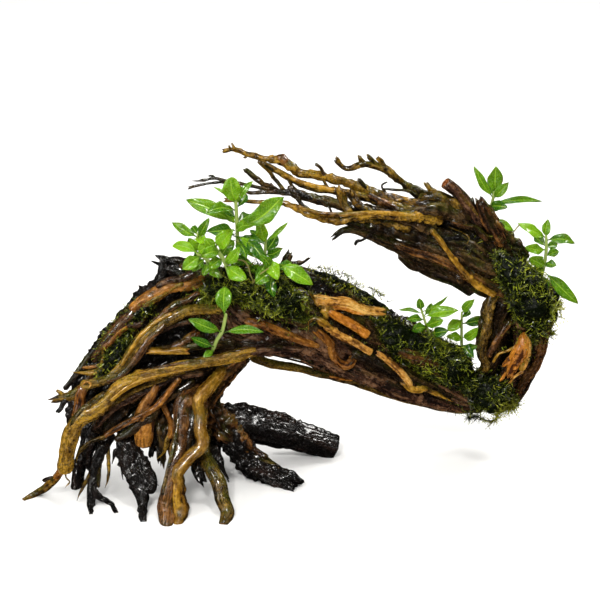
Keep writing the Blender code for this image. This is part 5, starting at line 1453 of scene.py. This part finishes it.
shoots = {
    "shoot_crown_main": {
        "stem": [(237, 276, 56, 1.4), (237, 250, 55, 1.3), (236.5, 226, 55, 1.25), (235.5, 205, 55, 1.1),
            (235, 197, 55, 0.8)],
        "leaves": [
            ((236, 205, 55), (253, 181, 61), 5.0, 1.0, 60, 0.55),
            ((237, 207, 56), (246, 194, 68), 5.5, 1.0, 50, 0.1),
            ((235.5, 204, 55), (213, 187, 60), 2.4, 1.2, 60, 0.9),
            ((235, 211, 55), (206, 213, 44), 7.6, 2.6, 50, 0.35),
            ((236, 224, 55), (222, 215, 68), 6.0, 1.5, 45, 0.9),
            ((235, 230, 55), (206, 232, 46), 8.5, 2.5, 50, 0.15),
            ((236, 224, 55), (252, 214, 74), 7.0, 1.5, 40, 0.25),
            ((233, 236, 53), (266, 264, 40), 8.6, 2.5, 62, 0.1),
            ((214.5, 247, 39.2), (234, 229, 36), 8.4, 1.6, 62, 0.75),
            ((236, 241, 53), (247, 259, 40), 7.5, 1.5, 65, 0.3),
            ((235, 240, 54), (221, 257, 44), 8.0, 1.5, 65, 0.4),
            ((236, 244, 56), (254, 236, 64), 7.0, 1.5, 55, 0.2),
            ((236, 252, 52), (225, 265, 44), 6.5, 1.0, 70, 0.3),
            ((237, 246, 50), (259, 251, 44), 7.5, 1.6, 60, 0.5),
            ((236.6, 233, 55), (219, 243, 68), 7.0, 1.6, 45, 0.1),
            ((237, 258, 55), (251, 263, 44), 6.8, 1.2, 65, 0.25),
            ((237, 262, 55), (229, 277, 44), 6.6, 1.0, 70, 0.5),
            ((236, 232, 55), (253, 226, 48), 7.2, 1.6, 58, 0.5),
            ((236, 218, 55), (219, 206, 66), 6.4, 1.4, 48, 0.2),
        ],
    },
    "shoot_crown_left": {
        "stem": [(212, 274, 56, 1.2), (203, 252, 54, 1.1), (199, 240, 53, 1.0), (197, 232, 53, 0.7)],
        "leaves": [
            ((198, 238, 53), (172, 222, 58), 6.4, 1.8, 48, 0.45),
            ((199, 237, 53), (209, 218, 48), 6.0, 2.4, 60, 0.35),
            ((199, 238, 53), (206, 245, 36), 7.0, 2.0, 40, 0.95),
            ((200, 244, 53), (184, 247, 60), 6.2, 1.4, 45, 0.2),
            ((203, 252, 54), (217, 246, 58), 7.0, 1.4, 55, 0.5),
            ((198, 236, 53), (192, 226, 62), 4.6, 1.0, 50, 0.3),
            ((205, 256, 54), (192, 262, 62), 6.5, 1.2, 55, 0.15),
            ((208, 264, 55), (221, 263, 46), 6.6, 1.2, 60, 0.3),
            ((202, 250, 54), (188, 238, 50), 6.2, 1.8, 55, 0.7),
        ],
    },
    "shoot_crown_low": {
        "stem": [(222, 278, 50, 1.1), (210, 262, 44, 1.0), (196, 253, 41, 0.8)],
        "leaves": [
            ((198, 254, 41), (172, 246, 48), 7.0, 1.6, 55, 0.95),
            ((200, 256, 42), (182, 270, 34), 8.6, 1.6, 70, 0.6),
            ((205, 259, 43), (192, 271, 37), 6.5, 1.2, 60, 0.5),
            ((197, 254, 41), (216, 242, 38), 8.0, 1.6, 60, 0.85),
            ((208, 262, 44), (203, 276, 38), 5.6, 0.8, 70, 0.45),
            ((212, 265, 45), (219, 278, 38), 6.2, 1.0, 70, 0.55),
        ],
    },
    "shoot_crown_front": {
        "stem": [(232, 280, 50, 1.5), (226, 265, 42, 1.4), (218, 252, 39, 1.2), (214, 246, 39, 0.9)],
        "leaves": [
            ((219, 251, 39), (232, 231, 32), 8.0, 1.8, 60, 0.8),
            ((220, 252, 39), (200, 257, 31), 8.0, 1.8, 60, 0.5),
            ((227, 266, 41), (246, 280, 31), 9.6, 1.6, 72, 0.7),
            ((223, 258, 41), (208, 269, 32), 7.0, 1.2, 65, 0.4),
            ((215, 248, 39), (204, 238, 38), 7.0, 1.4, 60, 0.6),
            ((225, 263, 41), (239, 247, 36), 7.4, 1.4, 66, 0.7),
        ],
    },
    "shoot_crown_right": {
        "stem": [(262, 280, 56, 1.2), (265, 258, 56, 1.1), (266, 238, 56, 0.8)],
        "leaves": [
            ((265, 243, 56), (259, 220, 52), 7.8, 1.2, 75, 0.7),
            ((266, 242, 56), (288, 222, 60), 3.4, 1.6, 50, 0.6),
            ((265, 252, 56), (277, 234, 64), 7.5, 1.4, 60, 0.05),
            ((264, 256, 56), (241, 238, 46), 8.0, 2.0, 60, 0.8),
            ((265, 255, 55), (283, 248, 50), 6.8, 1.4, 60, 0.2),
            ((264, 258, 56), (247, 253, 46), 7.2, 1.6, 60, 0.6),
            ((264.3, 264, 56), (256, 278, 42), 6.6, 1.0, 70, 0.3),
            ((265, 246, 57), (250, 230, 66), 6.0, 1.2, 50, 0.15),
            ((264, 268, 56), (246, 271, 48), 6.4, 1.2, 62, 0.35),
        ],
    },
    "shoot_crown_far": {
        "stem": [(272, 288, 52, 1.1), (270, 274, 46, 1.0), (279, 264, 43, 0.8)],
        "leaves": [
            ((272, 270, 45), (260, 255, 39), 6.5, 1.4, 60, 0.3),
            ((272, 276, 47), (274, 297, 39), 7.0, 1.4, 75, 0.1),
            ((268, 262, 46), (278, 279, 36), 9.4, 1.4, 68, 0.95),
            ((270, 273, 45), (255, 284, 34), 8.8, 1.6, 70, 0.45),
            ((274, 270, 45), (292, 262, 52), 6.4, 1.4, 50, 0.2),
        ],
        "twigs": [[(222.5, 259.5, 40.8, 0.55), (244, 261, 41, 0.5), (251, 276, 41, 0.45),
            (255, 286, 45, 0.45)], [(252, 284, 42, 0.45), (259, 275, 38, 0.45), (269, 268, 38, 0.4)]],
    },
    "shoot_front": {
        "stem": [(212, 352, 43, 1.3), (217, 341, 36, 1.2), (223, 331, 33, 1.2), (226, 313, 32, 1.1)],
        "leaves": [
            ((224, 333, 33), (264, 332, 30), 5.9, 3.0, 55, 0.3),
            ((214, 347, 37), (190, 337, 33), 5.4, 1.2, 60, 0.1),
            ((214, 350, 41), (203, 357, 36), 4.5, 0.8, 65, 0.4),
        ],
    },
    "shoot_trunk_left": {
        "stem": [(436, 356, 84, 1.0), (430, 336, 85, 0.9), (424, 318, 86, 0.8), (421, 308, 86, 0.6)],
        "leaves": [
            ((423, 314, 86), (398, 310, 90), 3.2, 1.6, 45, 0.4),
            ((422, 312, 86), (448, 296, 94), 2.6, 1.2, 45, 0.5),
            ((421, 311, 86), (419, 298, 84), 5.2, 0.6, 75, 0.4),
            ((424, 320, 86), (406, 320, 80), 5.4, 1.2, 50, 0.3),
            ((424, 317, 86), (459, 311, 80), 8.8, 2.6, 48, 0.65),
            ((426, 326, 85), (444, 320, 76), 7.4, 1.2, 55, 0.5),
            ((427, 328, 85), (411, 331, 78), 6.5, 1.2, 55, 0.35),
            ((430, 334, 85), (449, 331, 78), 7.0, 1.2, 58, 0.15),
            ((424, 316, 86), (432, 303, 92), 4.6, 0.8, 60, 0.3),
            ((432, 340, 85), (421, 343, 78), 5.5, 0.8, 60, 0.2),
        ],
    },
    "shoot_trunk_right": {
        "stem": [(462, 370, 93, 1.1), (462, 342, 94, 1.0), (462, 325, 95, 0.9), (462, 311, 95, 0.6)],
        "leaves": [
            ((462, 314, 95), (475, 299, 91), 5.8, 1.0, 60, 0.6),
            ((462, 320, 95), (447, 331, 88), 7.8, 1.4, 62, 0.9),
            ((462, 324, 95), (487, 319, 99), 6.6, 1.4, 55, 0.15),
            ((462, 338, 94), (479, 327, 87), 6.5, 1.2, 60, 0.7),
            ((462, 340, 94), (447, 337, 89), 6.6, 1.2, 60, 0.75),
            ((462, 344, 94), (474, 358, 85), 7.0, 1.2, 65, 0.05),
            ((462, 346, 94), (451, 358, 87), 6.4, 1.0, 65, 0.3),
            ((462, 330, 95), (452, 320, 100), 5.0, 1.0, 50, 0.4),
            ((462, 318, 95), (470, 310, 102), 4.4, 0.8, 50, 0.3),
            ((463, 350, 93), (478, 346, 88), 6.0, 1.0, 60, 0.3),
        ],
    },
    "shoot_arm_top": {
        "stem": [(484, 228, 98, 1.3), (489, 212, 98, 1.1), (492, 202, 98, 1.0), (495, 190, 98, 0.8)],
        "leaves": [
            ((493, 198, 98), (474, 166, 101), 5.6, 1.2, 55, 0.5),
            ((493, 199, 98), (509, 182, 94), 6.2, 1.0, 60, 0.35),
            ((491, 204, 98), (542, 201, 101), 4.8, 2.4, 45, 0.3),
            ((490, 206, 98), (507, 207, 90), 7.6, 1.2, 62, 0.1),
            ((490, 206, 98), (479, 214, 92), 5.0, 1.0, 55, 0.3),
            ((491, 218, 96), (514, 231, 90), 6.2, 1.4, 60, 0.7),
            ((493, 197, 98), (489, 178, 108), 6.0, 1.0, 50, 0.2),
        ],
        "twigs": [[(498, 246, 92, 0.6), (508, 238, 90, 0.5), (520, 224, 92, 0.45)]],
    },
    "shoot_arm_right": {
        "stem": [(538, 288, 98, 1.3), (543, 270, 96, 1.2), (546, 250, 96, 1.1), (546, 234, 96, 0.8)],
        "leaves": [
            ((545, 238, 96), (518, 223, 94), 7.6, 3.6, 50, 0.75),
            ((546, 238, 96), (548, 219, 98), 5.8, 0.8, 80, 0.5),
            ((546, 241, 96), (575, 243, 94), 7.0, 4.6, 50, 0.3),
            ((545, 250, 96), (525, 247, 90), 7.2, 1.4, 55, 0.6),
            ((546, 256, 96), (559, 251, 98), 6.0, 0.8, 60, 0.4),
            ((545, 266, 96), (529, 258, 88), 8.6, 1.4, 60, 0.6),
            ((545, 262, 96), (556, 266, 90), 6.4, 0.8, 60, 0.25),
            ((545, 248, 96), (558, 244, 104), 5.4, 0.8, 50, 0.2),
            ((544, 270, 96), (530, 270, 88), 6.6, 1.2, 62, 0.2),
            ((543, 276, 96), (548, 291, 90), 4.6, 0.8, 65, 0.5),
            ((546, 246, 96), (534, 236, 104), 6.0, 1.0, 50, 0.3),
            ((543, 274, 96), (530, 282, 86), 6.4, 1.0, 65, 0.35),
        ],
    },
}
for i, (nodeName, shoot) in enumerate(shoots.items()):
    addPlant(nodeName, [shoot["stem"]] + shoot.get("twigs", []), shoot["leaves"], 300 + 100 * i)

bigLeaves = {
    "leaf_crown_top": ((236, 202, 55), (231, 177, 50), 12.6, 1.2, 80, 0.6, 0.5),
    "leaf_crown_right": ((238, 227, 54), (282, 197, 47), 12.6, 2.0, 62, 0.45, 0.6),
    "leaf_crown_left": ((234, 223, 57), (186, 200, 62), 9.6, 2.8, 58, 0.5, 0.5),
    "leaf_crown_far": ((279, 264, 42), (313, 285, 35), 9.8, 3.2, 60, 0.6, 0.42),
    "leaf_front_up": ((225, 317, 32), (225, 286, 34), 10.2, 0.8, 85, 0.45, 0.6),
    "leaf_front_left": ((222, 332, 32), (188.5, 319, 29), 7.6, 1.8, 62, 0.3, 0.48),
    "leaf_arm_up": ((495, 192, 98), (496, 166, 97), 10.4, 0.8, 82, 0.45, 0.45),
    "leaf_arm_droop": ((545, 272, 96), (578, 304, 92), 8.8, 2.0, 62, 0.4, 0.42),
}
for i, (nodeName, form) in enumerate(bigLeaves.items()):
    addPlant(nodeName, [], [form], 2000 + 100 * i)
print("shoots and leaves are grown")

# The floor, the light and the camera
studio = {"side": 6.0, "sky": (1.0, 0.995, 0.97, 1), "glow": 0.3, "lampTint": (1.0, 0.985, 0.95),
          "aim": (0, 0, 0.1)}


def makeFloor():
    group, given, out = newGroup("floorTone", [
        ("Pale", "color", (0.91, 0.91, 0.91)), ("Worn", "color", (0.88, 0.88, 0.88)),
    ], surfaceSockets[:2])
    place = node(group, "ShaderNodeNewGeometry").outputs["Position"]
    soft = cloud(group, place, 3.0, 4.0, 0.6)
    giveOut(group, out, {"Color": blended(group, soft, given["Worn"], given["Pale"]),
                         "Roughness": between(group, cloud(group, place, 40.0), 0.3, 0.7, 0.55, 0.7)})
    made, tree, shader = newMaterial("paleFloor")
    surface = useGroup(tree, group, {})
    tree.links.new(surface.outputs["Color"], shader.inputs["Base Color"])
    tree.links.new(surface.outputs["Roughness"], shader.inputs["Roughness"])
    half = studio["side"] / 2
    corners = [(-half, -half, 0), (half, -half, 0), (half, half, 0), (-half, half, 0)]
    mesh = bpy.data.meshes.new("floor")
    mesh.from_pydata(corners, [], [(0, 1, 2, 3)])
    mesh.materials.append(made)
    return placed("floor", mesh)


ground = makeFloor()
ground.visible_glossy = False

world = bpy.data.worlds.new("studio")
bpy.context.scene.world = world
world.use_nodes = True
world.node_tree.nodes["Background"].inputs["Color"].default_value = studio["sky"]
world.node_tree.nodes["Background"].inputs["Strength"].default_value = studio["glow"]
world.cycles_visibility.glossy = False

lamps = {
    "ceilingLight": {"place": (0.0, 0.7, 2.3), "size": (3.6, 4.2), "power": 90.0, "glints": False},
    "keyLight": {"place": (-0.25, -0.9, 0.95), "size": (0.24, 0.16), "power": 9.0},
    "sparkLight": {"place": (0.12, -0.25, 1.3), "size": (0.1, 0.1), "power": 3.4},
    "sideSpark": {"place": (-0.85, -0.5, 0.75), "size": (0.1, 0.1), "power": 2.0},
    "fillLight": {"place": (-1.1, -0.9, 0.5), "size": (0.5, 0.5), "power": 3.0},
    "rimLight": {"place": (0.7, 0.4, 0.9), "size": (0.3, 0.25), "power": 5.0},
}
for name, lamp in lamps.items():
    light = bpy.data.lights.new(name, "AREA")
    light.shape = "RECTANGLE"
    light.size, light.size_y = lamp["size"]
    light.energy = lamp["power"]
    light.color = studio["lampTint"]
    shown = placed(name, light)
    shown.location = lamp["place"]
    shown.visible_glossy = lamp.get("glints", True)
    towards = Vector(studio["aim"]) - Vector(lamp["place"])
    shown.rotation_euler = towards.to_track_quat("-Z", "Y").to_euler()

camera = placed("camera", bpy.data.cameras.new("camera"))
camera.location = eye.tolist()
camera.rotation_euler = (math.pi / 2 - view["tilt"], 0, 0)
camera.data.sensor_width = view["sensor"]
camera.data.lens = view["sensor"] * view["distance"] / view["width"]
bpy.context.scene.camera = camera
bpy.context.scene.view_settings.view_transform = "Standard"
print("floor, light and camera are set")
